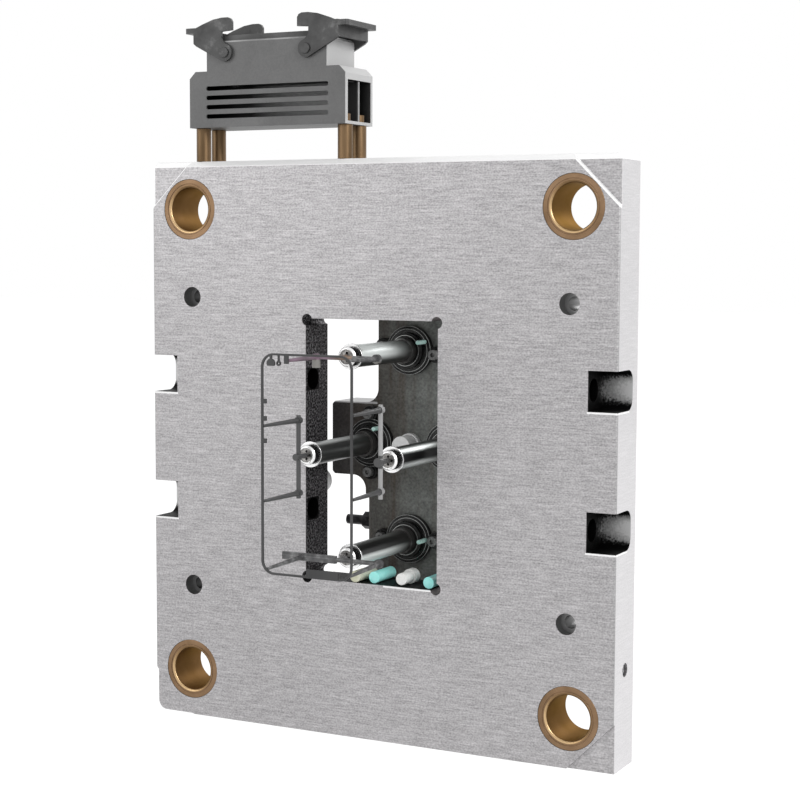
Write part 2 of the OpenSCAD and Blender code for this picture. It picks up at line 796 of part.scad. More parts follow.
// Flanged pin at the middle of the manifold's front face
module centring_pin() {
    flange_t = 4;
    color("white") centred() {
        rod_y(centre_flange_d, manifold_y - flange_t, manifold_y);
        rod_y(centre_flange_d - 2, manifold_y - centre_l, manifold_y - flange_t);
    }
}

// Hardened buttons on the plate's back, one on each side of the window
module stop_buttons() {
    reach = (window_w + back_pocket_w) / 4;
    color("white") centred() for (x = [-1, 1]) translate([x * reach, 0, -28.5]) difference() {
        rod_y(button_d, pocket_floor_y, pocket_floor_y + button_l);
        socket_y(5, pocket_floor_y + button_l - 3, pocket_floor_y + button_l + past);
    }
}

// A piece of nozzle i: local Z runs from the manifold's front face to the tip
module on_nozzle(i) {
    p = nozzle_places[i - 1];
    centred() translate([p[0], manifold_y, p[1]]) rotate([90, 0, 0]) children();
}

module nozzle_body(i) {
    color("slategray") on_nozzle(i) difference() {
        union() {
            cylinder(d = head_d, h = head_h - 1, $fn = fine);
            cylinder(d = head_d - 2, h = head_h, $fn = fine);
            cylinder(d = core_d, h = core_end, $fn = fine);
        }
        translate([0, 0, -past]) cylinder(d = nozzle_bore, h = nozzle_l, $fn = fine);
    }
}

// Sleeve heater: the bright barrel, with a short foot against the head
module nozzle_heater(i) {
    color("silver") on_nozzle(i) difference() {
        union() {
            translate([0, 0, head_h]) cylinder(d = barrel_foot_d, h = barrel_foot_h, $fn = fine);
            translate([0, 0, head_h]) cylinder(d = barrel_d, h = barrel_end - head_h, $fn = fine);
        }
        translate([0, 0, head_h - past]) cylinder(d = core_d + 2 * snug, h = nozzle_l, $fn = fine);
    }
}

// Tip nut: thin ring, deep groove and bevelled nose, bored for the torpedo
module tip_nut(i) {
    nose_bevel = 1.2;
    color("gainsboro") on_nozzle(i) difference() {
        union() {
            translate([0, 0, barrel_end]) cylinder(d = nut_d, h = nut_l, $fn = fine);
            translate([0, 0, core_end]) cylinder(d = nose_d - 1.6, h = tip_groove_l, $fn = fine);
            translate([0, 0, nose_start]) cylinder(d = nose_d, h = nose_l - nose_bevel, $fn = fine);
            translate([0, 0, nozzle_l - nose_bevel])
                cylinder(d1 = nose_d, d2 = nose_d - 2 * nose_bevel, h = nose_bevel, $fn = fine);
        }
        translate([0, 0, barrel_end - past]) cylinder(d = torpedo_d + 2 * snug, h = nozzle_l, $fn = fine);
        translate([0, 0, barrel_end - past]) cylinder(d = core_d + 2 * snug, h = nut_l + past, $fn = fine);
    }
}

// Torpedo: a round body with four melt holes round its short needle
module torpedo_tip(i) {
    body_l = nozzle_l - torpedo_back - core_end;
    color("goldenrod") on_nozzle(i) translate([0, 0, core_end]) {
        difference() {
            cylinder(d = torpedo_d, h = body_l, $fn = fine);
            for (turn = [0 : 90 : 270]) rotate(turn) translate([melt_hole_r, 0, -past])
                cylinder(d = melt_hole_d, h = body_l + 2 * past, $fn = small);
        }
        translate([0, 0, body_l]) cylinder(d1 = 2, d2 = 0.6, h = torpedo_back - 0.2, $fn = small);
    }
}

// Outline of a clamp ring with its two ears
module clamp_outline() {
    circle(clamp_d / 2, $fn = fine);
    for (x = [-clamp_screw_r, clamp_screw_r]) translate([x, 0]) circle(ear_r, $fn = fine);
}

// Clamp rings that hold the nozzle heads on the manifold
module nozzle_clamps() {
    color("gray") for (i = [1 : 4]) on_nozzle(i) difference() {
        union() {
            linear_extrude(clamp_t - 1.5) rotate(ear_turns[i - 1]) clamp_outline();
            cylinder(d = clamp_d - 2, h = clamp_t - 0.7, $fn = fine);
            cylinder(d = clamp_d - 5, h = clamp_t, $fn = fine);
        }
        translate([0, 0, -past]) cylinder(d = head_d + 2 * snug, h = clamp_t + 2 * past, $fn = fine);
        for (x = [-1, 1]) rotate(ear_turns[i - 1]) translate([x * clamp_screw_r, 0, 0]) {
            translate([0, 0, -past]) cylinder(d = 4.5, h = clamp_t + 2 * past, $fn = small);
            translate([0, 0, clamp_t - 1.5]) cylinder(d = clamp_head_d + 0.6, h = 2 * past + 1, $fn = small);
        }
    }
}

module clamp_screws() {
    seat = clamp_t - 1.5;
    color("darkgray") for (i = [1 : 4], x = [-1, 1]) on_nozzle(i) rotate(ear_turns[i - 1])
        translate([x * clamp_screw_r, 0, 0]) difference() {
            union() {
                translate([0, 0, seat]) cylinder(d = clamp_head_d, h = clamp_head_h, $fn = small);
                translate([0, 0, -7]) cylinder(d = 4, h = 7 + seat, $fn = small);
            }
            translate([0, 0, seat + clamp_head_h - 2]) cylinder(d = 3 / cos(30), h = 2 + past, $fn = 6);
        }
}

// Mint-coloured thermocouple pins that stand on the clamp rings
module thermocouple_pins() {
    color("aquamarine") for (i = [1 : 4]) on_nozzle(i) rotate(pin_turns[i - 1])
        translate([pin_r, 0, clamp_t]) {
            cylinder(d = pin_d, h = pin_l - 0.8, $fn = small);
            translate([0, 0, pin_l - 0.8]) cylinder(d1 = pin_d, d2 = pin_d - 1.2, h = 0.8, $fn = small);
        }
}

// A sleeve along Y, lying on the window's floor, its bore open at the back
module floor_sleeve(x, y0) {
    y1 = y0 + sleeve_l;
    centred() translate([x, 0, sleeve_d / 2 - window_h / 2]) difference() {
        rod_y(sleeve_d, y0, y1);
        rod_y(sleeve_d - 2.4, y1 - 4, y1 + past);
    }
}

module lead_sleeves() {
    color("aquamarine") {
        floor_sleeve(1, 4);
        floor_sleeve(window_w / 2 - 8, 4);
    }
}

// A plain sleeve and a ferrule with a collar at its back
module lead_ferrules() {
    collar_d = sleeve_d + 2;
    step_y = 14;
    color("ivory") {
        floor_sleeve(-12, 1);
        centred() translate([22.5, 0, collar_d / 2 - window_h / 2]) difference() {
            union() {
                rod_y(sleeve_d, 2, step_y);
                rod_y(collar_d, step_y, step_y + 7);
            }
            rod_y(4, step_y + 2, step_y + 7 + past);
        }
    }
}

// Outline of the wiring box in X and Z, with its shoulders cut
module box_outline() {
    half = box_w / 2;
    polygon([
        [-half, 0], [half, 0], [half, box_h - shoulder_cut], [half - shoulder_cut, box_h],
        [shoulder_cut - half, box_h], [-half, box_h - shoulder_cut]
    ]);
}

// Outline of the connector's neck in X and Z from the shoulder up
module neck_outline() {
    neck = neck_w / 2;
    polygon([
        [-neck, 0], [neck, 0], [neck, neck_h - 2], [neck - 2, neck_h], [2 - neck, neck_h], [-neck, neck_h - 2]
    ]);
}

// One cooling slot with round ends
module slot_outline() {
    square([slot_l - slot_h, slot_h], center = true);
    for (x = [-1, 1]) translate([x * (slot_l - slot_h) / 2, 0]) circle(d = slot_h, $fn = small);
}

// Holes for the housing screws and the insert screws, and the cable passage, from the shoulder
module shoulder_holes() {
    for (p = housing_screw_places) translate([p[0], p[1], -7]) cylinder(d = 2.5 + 2 * snug, h = 10, $fn = small);
    for (x = [-1, 1]) translate([x * insert_screw_x, 0, -1]) cylinder(d = 2.5 + 2 * snug, h = 4, $fn = small);
    translate([0, 0, insert_lift / 2 - box_h / 2])
        cube([well_w - 2 * passage_ledge, well_d - 2 * passage_ledge, box_h - 2 * floor_t], center = true);
}

// Wiring box: slotted on both sides, open at its right end
module wiring_box() {
    color("gray") placed() translate([connector_x, box_y, box_z]) difference() {
        along_y(0, box_d) box_outline();
        translate([end_wall - box_w / 2, box_wall, floor_t]) cube([box_w, box_d - 2 * box_wall, chamber_h]);
        translate([0, box_d / 2, box_h]) shoulder_holes();
        along_y(-past, box_d + past)
            for (i = [0 : slot_count - 1]) translate([0, slot_first + i * slot_pitch]) slot_outline();
        for (p = pillar_places) translate([p[0] - connector_x, p[1] - box_y, -past])
            cylinder(d = pillar_screw_d + 0.5, h = floor_t + 2 * past, $fn = small);
    }
}

// Neck of the connector: mating well, lip and the holes of the lever pivots
module connector_housing() {
    color("gray") placed() translate([connector_x, box_y, shoulder_z]) difference() {
        union() {
            along_y(0, box_d) neck_outline();
            translate([0, box_d / 2, neck_h]) linear_extrude(lip_h)
                square([neck_w - 4 - 2 * lip_step, box_d - 2 * lip_step], center = true);
        }
        translate([-well_w / 2, well_wall, insert_lift]) cube([well_w, well_d, neck_h + lip_h]);
        translate([0, box_d / 2, 0]) {
            shoulder_holes();
            for (p = housing_screw_places) translate([p[0], p[1], insert_lift - 1.1])
                cylinder(d1 = 2.5 + 2 * snug, d2 = 4.7 + 2 * snug, h = 1.1, $fn = small);
        }
        for (x = [-pivot_x, pivot_x]) translate([x, 0, pivot_up]) {
            rod_y(pivot_d + 2 * snug, -past, pivot_depth);
            rod_y(pivot_d + 2 * snug, box_d - pivot_depth, box_d + past);
        }
    }
}

// Countersunk screws from the well's floor down into the box
module housing_screws() {
    color("silver") placed() translate([connector_x, plate_t / 2, shoulder_z])
        for (p = housing_screw_places) translate([p[0], p[1], 0]) {
            translate([0, 0, -6.5]) cylinder(d = 2.5, h = 6.5 + insert_lift - 1.1, $fn = small);
            translate([0, 0, insert_lift - 1.1]) cylinder(d1 = 2.5, d2 = 4.5, h = 1, $fn = small);
        }
}

// Terminal plate that parts the box lengthways
module terminal_plate() {
    color("darkgray") placed() translate([connector_x, plate_t / 2 + 0.5, box_z + floor_t])
        translate([end_wall + slack - box_w / 2, 0, 0])
            cube([box_w - end_wall - 1 - slack, terminal_t, chamber_h - slack]);
}

module spacer_pillars() {
    color("darkgoldenrod") placed() for (p = pillar_places) translate([p[0], p[1], plate_h]) difference() {
        cylinder(d = pillar_d, h = pillar_h, $fn = fine);
        translate([0, 0, -past]) cylinder(d = pillar_screw_d + 0.5, h = pillar_h + 2 * past, $fn = small);
    }
}

// Screws from inside the box, down through the pillars into the plate
module pillar_screws() {
    head_z = box_z + floor_t;
    color("goldenrod") placed() for (p = pillar_places) translate([p[0], p[1], 0]) difference() {
        union() {
            translate([0, 0, plate_h - pillar_tap_depth + 1])
                cylinder(d = pillar_screw_d, h = head_z - plate_h + pillar_tap_depth - 1, $fn = small);
            translate([0, 0, head_z]) cylinder(d = pillar_head_d, h = pillar_head_h, $fn = small);
        }
        translate([0, 0, head_z + pillar_head_h - 2.5]) cylinder(d = 3 / cos(30), h = 3, $fn = 6);
    }
}

module contact_insert() {
    color("dimgray") placed() translate([connector_x, plate_t / 2, insert_z]) difference() {
        translate([0, 0, insert_h / 2]) cube([well_w - slack, well_d - slack, insert_h], center = true);
        for (x = [-1, 1]) translate([x * insert_screw_x, 0, -past]) {
            cylinder(d = 3, h = insert_h + 2 * past, $fn = small);
            translate([0, 0, insert_h - 1]) cylinder(d = 4.4, h = 3, $fn = small);
        }
        for (i = [0 : contacts - 1], y = [-1, 1])
            translate([(i - (contacts - 1) / 2) * contact_pitch, y * contact_row, -past])
                cylinder(d = contact_d + 2 * snug, h = insert_h + 2 * past, $fn = small);
    }
}

module contact_pins() {
    color("gold") placed() translate([connector_x, plate_t / 2, insert_z])
        for (i = [0 : contacts - 1], y = [-1, 1])
            translate([(i - (contacts - 1) / 2) * contact_pitch, y * contact_row, 0.5]) {
                cylinder(d = contact_d, h = insert_h - 0.5 + contact_h - 0.6, $fn = small);
                translate([0, 0, insert_h - 0.5 + contact_h - 0.6])
                    cylinder(d1 = contact_d, d2 = contact_d - 1, h = 0.6, $fn = small);
            }
}

module insert_screws() {
    color("silver") placed() for (x = [-1, 1])
        translate([connector_x + x * insert_screw_x, plate_t / 2, insert_z - 2.5]) {
            cylinder(d = 2.5, h = insert_h + 1.5, $fn = small);
            translate([0, 0, insert_h + 1.5]) cylinder(d = 4, h = 1.6, $fn = small);
        }
}

// Side outline of the right lever about its pivot: eye, hook, back and foot of the web
module lever_outline() {
    notch_foot = 9.6;
    hook_foot = notch_foot + notch_w;
    hook_tip = 23.6;
    round_r = 2;
    difference() {
        union() {
            circle(lever_eye_r, $fn = fine);
            polygon([
                [-lever_eye_r, 0], [2.2, notch_foot], [2.2, hook_foot], [-6.5, hook_foot + 0.6],
                [-6.5, hook_tip - 3.4], [-5.4, hook_tip - 1], [-3, hook_tip], [2, hook_tip], [9, hook_tip - 1],
                [18, hook_tip - 4], [web_reach - 1, 17.2], [web_reach, 16.2], [web_reach, 7],
                [web_reach - 2, 5.2], [3.4, -5]
            ]);
        }
        circle(d = pivot_d + 2 * pivot_fit, $fn = fine);
    }
    translate([-6.5 + round_r, hook_tip - 3.4]) circle(round_r, $fn = small);
}

// One locking lever, open side inwards; side 1 is the right one, -1 its mirror image
module lever(side) {
    outer = slack + lever_t;
    tab_z = 14;
    tab_t = 3.6;
    color("dimgray") placed() translate([connector_x + side * pivot_x, box_y, pivot_z])
        mirror([side < 0 ? 1 : 0, 0, 0]) {
            along_y(-outer, -slack) lever_outline();
            along_y(box_d + slack, box_d + outer) lever_outline();
            translate([web_reach - 2, -slack - past / 2, 7]) cube([2, box_d + 2 * slack + past, 9]);
            translate([web_reach - 2, box_d / 2, tab_z]) linear_extrude(tab_t) difference() {
                translate([0, -box_d / 2 - outer]) square([tab_reach + 2, box_d + 2 * outer]);
                for (flip = [0, 1]) mirror([0, flip])
                    translate([tab_reach + 2, box_d / 2 + outer]) corner_waste(2);
            }
        }
}

// Pins that the levers swing on, pressed into the neck
module lever_pivots() {
    outer = slack + lever_t + slack;
    color("lightgray") placed() for (x = [-pivot_x, pivot_x])
        translate([connector_x + x, box_y, pivot_z]) {
            rod_y(pivot_d, -outer, pivot_depth - 0.2);
            rod_y(pivot_d + 2, -outer - pivot_cap, -outer);
            rod_y(pivot_d, box_d - pivot_depth + 0.2, box_d + outer);
            rod_y(pivot_d + 2, box_d + outer, box_d + outer + pivot_cap);
        }
}

// Thin frame with its port block and the small tabs on its left side
module moulded_frame() {
    inner = frame_wall * 2;
    left = frame_x - frame_w / 2;
    foot = -frame_h / 2;
    color("dimgray") centred() along_y(front_end, frame_depth / 2 - moulding_y) {
        translate([frame_x, 0]) difference() {
            round_rect(frame_w, frame_h, frame_r);
            round_rect(frame_w - inner, frame_h - inner, frame_r - frame_wall);
        }
        translate([left + 7.2, -foot - 6.3]) {
            difference() {
                circle(2.9, $fn = small);
                translate([-3, -3.9]) square([6, 2.2]);
            }
            translate([-0.7, 0]) square([1.4, 6.3 - frame_wall / 2]);
        }
        translate([left + 12.9, -foot - 6.3]) {
            difference() {
                circle(1.6, $fn = small);
                circle(0.7, $fn = small);
            }
            translate([-0.5, 1.2]) square([1, 5.1 - frame_wall / 2]);
        }
        for (z = [40, 29, 14.8]) translate([left + frame_wall / 2, z - 1.5]) square([3.1, 3]);
        translate([top_tab_x - 1.5, end_runner_z - 2]) square([3, -foot - end_runner_z + 1]);
        translate([frame_x, foot + frame_wall / 2]) square([port_w, port_t]);
    }
}

// A tapered drop from a runner at [x, z] to the frame at another [x, z], leaning where they differ
module sprue_drop(from, to) {
    lean = [to[0] - from[0], drop_end + runner_plane, to[1] - from[1]];
    reach = norm(lean);
    translate([from[0], runner_plane, from[1]])
        rotate([90 - asin(lean[2] / reach), 0, atan2(lean[0], lean[1])])
            cylinder(d1 = drop_d, d2 = drop_tip_d, h = reach - 0.1, $fn = small);
    translate([from[0], 0, from[1]]) rod_y(drop_d + 1, runner_plane - 2, runner_plane + 2);
}

// Upright runners on the two side nozzles
module side_runners() {
    color("dimgray") centred() {
        side_runner(-side_runner_x, strip_left, -left_half, left_half, [-left_drop, left_drop], boss_d - 1.4);
        side_runner(side_runner_x, strip_right, -right_foot, right_top, [-right_drop_foot, right_drop_top], boss_d);
    }
}

module side_runner(x, strip, z0, z1, drops, disc_d) {
    translate([x, runner_plane, z0]) cylinder(d = runner_d, h = z1 - z0, $fn = small);
    translate([x, 0, 0]) {
        rod_y(stub_d, runner_plane, runner_plane + stub_l);
        rod_y(disc_d, runner_plane - boss_reach, runner_plane);
    }
    for (z = drops) sprue_drop([x, z], [strip, z]);
}

// Cross runners on the upper and lower nozzles; the lower one is the longer and has a thick feed block
module end_runners() {
    color("rosybrown") centred() {
        end_runner(end_runner_z, -upper_left, upper_right);
        end_runner(-end_runner_z, -lower_left, lower_right);
        sprue_drop([-upper_left, end_runner_z], [top_tab_x, end_runner_z]);
        sprue_drop([upper_right, end_runner_z], [frame_x + corner_x + corner_out, corner_z + corner_out]);
        sprue_drop([lower_drop_x, -end_runner_z], [frame_x - corner_x - corner_out, -corner_z - corner_out]);
        sprue_drop([lower_right, -end_runner_z], [frame_x + corner_x + corner_out, -corner_z - corner_out]);
        translate([-lower_left, runner_plane - 1.2, -end_runner_z - 2.5]) cube([lower_left - 2, 2.4, 5]);
        translate([-upper_left, runner_plane, end_runner_z - 7]) cylinder(d = boss_d - 0.6, h = 7, $fn = small);
    }
}

module end_runner(z, x0, x1) {
    translate([0, runner_plane, z]) {
        rod_x(runner_d, x0, x1);
        translate([0, -runner_plane, 0]) rod_y(stub_d, runner_plane, runner_plane + stub_l);
    }
    translate([x1, 0, z]) rod_y(boss_d, runner_plane - 1.5, runner_plane + 1.5);
}

nozzle_plate();
guide_bush(-1, 1);  // guide_bush_1
guide_bush(1, 1);  // guide_bush_2
guide_bush(-1, -1);  // guide_bush_3
guide_bush(1, -1);  // guide_bush_4
manifold_block();
manifold_plugs();
manifold_heater();
manifold_thermocouple();
support_posts();
post_bolts();
backup_pads();
pad_screws();
sprue_bushing();
sprue_band_heater();
centring_pin();
stop_buttons();
nozzle_body(1);  // nozzle_body_1
nozzle_body(2);  // nozzle_body_2
nozzle_body(3);  // nozzle_body_3
nozzle_body(4);  // nozzle_body_4
nozzle_heater(1);  // nozzle_heater_1
nozzle_heater(2);  // nozzle_heater_2
nozzle_heater(3);  // nozzle_heater_3
nozzle_heater(4);  // nozzle_heater_4
tip_nut(1);  // tip_nut_1
tip_nut(2);  // tip_nut_2
tip_nut(3);  // tip_nut_3
tip_nut(4);  // tip_nut_4
torpedo_tip(1);  // torpedo_tip_1
torpedo_tip(2);  // torpedo_tip_2
torpedo_tip(3);  // torpedo_tip_3
torpedo_tip(4);  // torpedo_tip_4
nozzle_clamps();
clamp_screws();
thermocouple_pins();
lead_sleeves();
lead_ferrules();
wiring_box();
terminal_plate();
spacer_pillars();
pillar_screws();
connector_housing();
housing_screws();
contact_insert();
contact_pins();
insert_screws();
lever(-1);  // lever_left
lever(1);  // lever_right
lever_pivots();
moulded_frame();
side_runners();
end_runners();
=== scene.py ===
import math

import bmesh
import bpy
from mathutils import Euler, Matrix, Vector


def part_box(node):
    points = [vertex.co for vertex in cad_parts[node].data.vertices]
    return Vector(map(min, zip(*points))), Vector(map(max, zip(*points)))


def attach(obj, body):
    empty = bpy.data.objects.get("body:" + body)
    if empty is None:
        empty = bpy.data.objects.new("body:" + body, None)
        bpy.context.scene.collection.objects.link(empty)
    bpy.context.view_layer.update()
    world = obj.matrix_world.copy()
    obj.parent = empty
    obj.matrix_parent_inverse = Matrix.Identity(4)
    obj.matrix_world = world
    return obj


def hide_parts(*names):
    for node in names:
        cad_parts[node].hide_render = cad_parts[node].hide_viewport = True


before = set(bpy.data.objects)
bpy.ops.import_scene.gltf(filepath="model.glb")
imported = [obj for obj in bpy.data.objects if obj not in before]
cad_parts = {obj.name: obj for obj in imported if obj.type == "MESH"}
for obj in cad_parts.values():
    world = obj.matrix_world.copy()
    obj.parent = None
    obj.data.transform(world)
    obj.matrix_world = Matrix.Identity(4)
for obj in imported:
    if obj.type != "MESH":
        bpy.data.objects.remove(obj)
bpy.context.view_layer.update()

# Nozzle plate: one slab of pre-hardened tool steel, surface-ground along its length.
# The window and the water pockets keep their black scale, and every edge is broken with a file; painted shade
# darkens the window's floor, pockets, bores and bolt holes, and painted light brightens the top, the sides and
# some edges.


class Term:
    """One value of a node tree; sums and products of terms add Math nodes to the tree."""

    def __init__(self, recipe, socket):
        self.recipe = recipe
        self.socket = socket

    def math(self, operation, *values, clamp=False):
        settings = {"operation": operation, "use_clamp": clamp}
        return self.recipe.node("ShaderNodeMath", settings, dict(enumerate(values)))

    def __add__(self, other):
        return self.math("ADD", self, other)

    def __sub__(self, other):
        return self.math("SUBTRACT", self, other)

    def __rsub__(self, other):
        return self.math("SUBTRACT", other, self)

    def __mul__(self, other):
        return self.math("MULTIPLY", self, other)

    def __truediv__(self, other):
        return self.math("DIVIDE", self, other)

    def __rtruediv__(self, other):
        return self.math("DIVIDE", other, self)

    def __pow__(self, other):
        return self.math("POWER", self, other)

    def __rpow__(self, other):
        return self.math("POWER", other, self)

    def __abs__(self):
        return self.math("ABSOLUTE", self)

    def __gt__(self, other):
        return self.math("GREATER_THAN", self, other)

    def __lt__(self, other):
        return self.math("LESS_THAN", self, other)

    def __or__(self, other):
        """Two masks joined: their sum, held at 1."""
        return self.math("ADD", self, other, clamp=True)

    __radd__ = __add__
    __rmul__ = __mul__
    __ror__ = __or__

    def larger(self, other):
        return self.math("MAXIMUM", self, other)

    def smaller(self, other):
        return self.math("MINIMUM", self, other)

    def fraction(self):
        return self.math("FRACT", self)


def three(value):
    """Three values from one: a grey from its level, or an even scale."""
    return value if isinstance(value, tuple) else (value, value, value)


class Recipe:
    """A node tree, with one way to add any node to it."""

    def __init__(self, tree):
        self.tree = tree

    def feed(self, socket, value):
        if isinstance(value, Term):
            self.tree.links.new(value.socket, socket)
        else:
            socket.default_value = value

    def node(self, kind, settings=None, values=None, output=0):
        made = self.tree.nodes.new(kind)
        for name, setting in (settings or {}).items():
            if name == "stops":
                ramp = made.color_ramp.elements
                while len(ramp) < len(setting):
                    ramp.new(0.5)
                for element, (position, color) in zip(ramp, setting):
                    element.position = position
                    element.color = (*three(color), 1)
            else:
                setattr(made, name, setting)
        for name, value in (values or {}).items():
            self.feed(made.inputs[name], value)
        return Term(self, made.outputs[output])


class Finish(Recipe):
    """A surface finish: its Principled shader and the nodes that vary it."""

    def __init__(self, name, metallic=0.0, roughness=0.5, **sockets):
        self.material = bpy.data.materials.new(name)
        self.material.use_nodes = True
        super().__init__(self.material.node_tree)
        self.shader = self.tree.nodes["Principled BSDF"]
        self.set("Metallic", metallic)
        self.set("Roughness", roughness)
        for socket, value in sockets.items():
            self.set(socket.replace("_", " "), value)

    def set(self, socket, value):
        self.feed(self.shader.inputs[socket], value)

    def place(self, stretch=(1, 1, 1), centre=(0, 0, 0)):
        """The piece's own coordinates in metres, measured from centre and stretched."""
        here = self.node("ShaderNodeTexCoord", output="Object")
        moved = self.node("ShaderNodeVectorMath", {"operation": "SUBTRACT"}, {0: here, 1: centre})
        return self.node("ShaderNodeMapping", None, {"Vector": moved, "Scale": stretch})

    def axis(self, name, centre=(0, 0, 0)):
        return self.node("ShaderNodeSeparateXYZ", None, {0: self.place(centre=centre)}, output=name)

    def radius(self, middle):
        """Distance from the line that runs along Y through middle."""
        aside, above = self.axis("X", middle), self.axis("Z", middle)
        return (aside * aside + above * above) ** 0.5

    def noise(self, scale, detail=2.0, rough=0.5):
        return self.node(
            "ShaderNodeTexNoise", None,
            {"Vector": self.place(three(scale)), "Scale": 1.0, "Detail": detail, "Roughness": rough},
        )

    def ramp(self, value, *stops):
        """Stops are pairs of a position and a colour, or a grey's level."""
        return self.node("ShaderNodeValToRGB", {"stops": stops}, {0: value})

    def mix(self, share, first, second):
        """Colour first where share is 0, second where it is 1."""
        first, second = [c if isinstance(c, Term) else (*three(c), 1) for c in (first, second)]
        return self.node("ShaderNodeMix", {"data_type": "RGBA"}, {0: share, 6: first, 7: second}, output=2)

    def shade(self, color, gain):
        """A colour made lighter or darker by a term near 1."""
        gains = self.node("ShaderNodeCombineXYZ", None, {0: gain, 1: gain, 2: gain})
        return self.node("ShaderNodeVectorMath", {"operation": "MULTIPLY"}, {0: color, 1: gains})

    def bump(self, height, depth, strength):
        """Relief whose full height is depth metres."""
        relief = {"Strength": strength, "Distance": depth, "Height": height}
        self.set("Normal", self.node("ShaderNodeBump", None, relief))


def linked(name, data):
    """An object in the scene, at the origin."""
    piece = bpy.data.objects.new(name, data)
    bpy.context.scene.collection.objects.link(piece)
    return piece


def plain_mesh(piece):
    """The mesh that a piece's modifiers make of it; the piece itself is removed."""
    mesh = bpy.data.meshes.new_from_object(piece.evaluated_get(bpy.context.evaluated_depsgraph_get()))
    bpy.data.objects.remove(piece)
    return mesh


merged_within = 2e-6
flat_within, sharp_from = math.radians(0.6), math.radians(32.0)


def worked(node, edge, finish, body, segments=2):
    """A copy of a CAD piece with its edges broken and its round faces smooth, shown in its place."""
    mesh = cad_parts[node].data.copy()
    form = bmesh.new()
    form.from_mesh(mesh)
    bmesh.ops.remove_doubles(form, verts=form.verts, dist=merged_within)
    bmesh.ops.dissolve_limit(form, angle_limit=flat_within, verts=form.verts, edges=form.edges)
    for face in form.faces:
        face.smooth = True
    form.to_mesh(mesh)
    form.free()
    rough_piece = linked(node + ".rough", mesh)
    if edge:
        broken = rough_piece.modifiers.new("broken edges", "BEVEL")
        broken.width = edge
        broken.segments = segments
        broken.limit_method = "ANGLE"
        broken.angle_limit = sharp_from
        broken.use_clamp_overlap = True
    else:
        mesh.set_sharp_from_angle(angle=sharp_from)
    level = rough_piece.modifiers.new("level faces", "WEIGHTED_NORMAL")
    level.keep_sharp = True
    shape = plain_mesh(rough_piece)
    shape.materials.clear()
    shape.materials.append(finish.material)
    piece = linked(node + "_finished", shape)
    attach(piece, body)
    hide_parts(node)


def middle_of(node):
    low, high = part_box(node)
    return (low + high) / 2


plate_low, plate_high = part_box("nozzle_plate")
plate_front = plate_low.y
middle_y, plate_middle = middle_of("nozzle_plate").yz
plate_side, corner_sum, top_level = 0.175, 0.339, 0.1922
window_side, window_end, relief_reach = 0.050, 0.089, 0.0035
pocket_up, pocket_down, pocket_half = 0.0475, 0.042, 0.013
pocket_floor, pocket_depth = 0.155, 0.027
water_depth, water_radius = 0.010, 0.0078
bolt_side, bolt_end, bolt_radius = 0.142, 0.102, 0.0073
bolt_from, bolt_to = 0.0008, 0.0345
sill_middle, sill_reach, sill_depth = 0.029, 0.019, 0.0005
step_depth, step_over, step_extra = 0.0028, 0.0004, 0.0014
side_edge_width, side_edge_depth = 0.0012, 0.0013
pocket_edge_depth, pocket_lit_from = 0.0210, 0.0150
line_half, front_skin, margin = 0.0006, 0.0006, 0.0005
floor_skin, side_skin, hair = 0.0004, 0.0003, 0.0002

ground = Finish("ground plate steel")
strokes = ground.noise((70, 70, 1100), detail=2.0, rough=0.6)
grain = ground.noise((800, 800, 1100), detail=0.0)
cloud = ground.noise(7.0, detail=1.0)
fine_spots = ground.noise(700.0, detail=2.0)

to_right = ground.axis("X")
across = abs(to_right)
rightward = to_right > 0
up = ground.axis("Z", (0, 0, plate_middle))
depth = ground.axis("Y", (0, plate_front, 0))
behind = depth > front_skin
on_side = across > plate_side - side_skin
on_top = up > top_level

in_window = (across < window_side + relief_reach) * (abs(up) < window_end + relief_reach) * behind
in_upper = abs(up - pocket_up) < pocket_half + margin
in_lower = abs(up + pocket_down) < pocket_half + margin
in_pocket = (across > pocket_floor - margin) * (across < plate_side - hair) * (in_upper + in_lower)
in_pocket = in_pocket * behind * (depth < pocket_depth + front_skin)
in_bore = (abs(up - pocket_up) < water_radius) + (abs(up + pocket_down) < water_radius)
in_bore = in_bore * (abs(depth - water_depth) < water_radius) * (across < pocket_floor)
beside, over = across - bolt_side, abs(up) - bolt_end
in_hole = (beside * beside + over * over < bolt_radius ** 2) * (depth > bolt_from) * (depth < bolt_to)
scaled = in_window | (in_pocket + in_bore)

# Painted highlights: the top face, its chamfer and thin strips along the corner steps, the window's sill and the
# pockets' sills are painted near white and less metallic.
from_corner = across + abs(up) - corner_sum
step_edge = (from_corner > -line_half - step_extra * rightward) * (from_corner < step_over)
step_edge = step_edge * (depth < step_depth) * (up > 0)
sill_edge = (abs(to_right - sill_middle) < sill_reach) * (abs(up + (window_end + line_half)) < line_half)
sill_edge = sill_edge * (depth < sill_depth)
upper_sill = abs(up - (pocket_up - pocket_half - line_half)) < line_half
lower_sill = abs(up + (pocket_down + pocket_half + line_half)) < line_half
pocket_edge = (across > pocket_floor - margin) * (depth < pocket_edge_depth) * (upper_sill + lower_sill)
top_and_edge_highlight = on_top | (step_edge + sill_edge | pocket_edge)
side_edge = (across > plate_side - side_edge_width) * (across < plate_side + hair)
side_edge = side_edge * (depth < side_edge_depth)

contrast = 1 - 0.7 * on_side - 0.92 * top_and_edge_highlight
tone = 1.0 + contrast * (strokes * strokes - 0.25 + 0.75 * (grain - 0.5)) + 0.12 * (cloud - 0.5)
# The side faces are painted paler than the front, as painted light.
milled_with_lit_side = ground.mix(on_side, (0.395, 0.385, 0.392), (0.66, 0.65, 0.66))
milled_with_lit_side = ground.mix(side_edge, milled_with_lit_side, (0.36, 0.355, 0.36))
milled_with_lit_side = ground.mix(top_and_edge_highlight, milled_with_lit_side, 0.93)

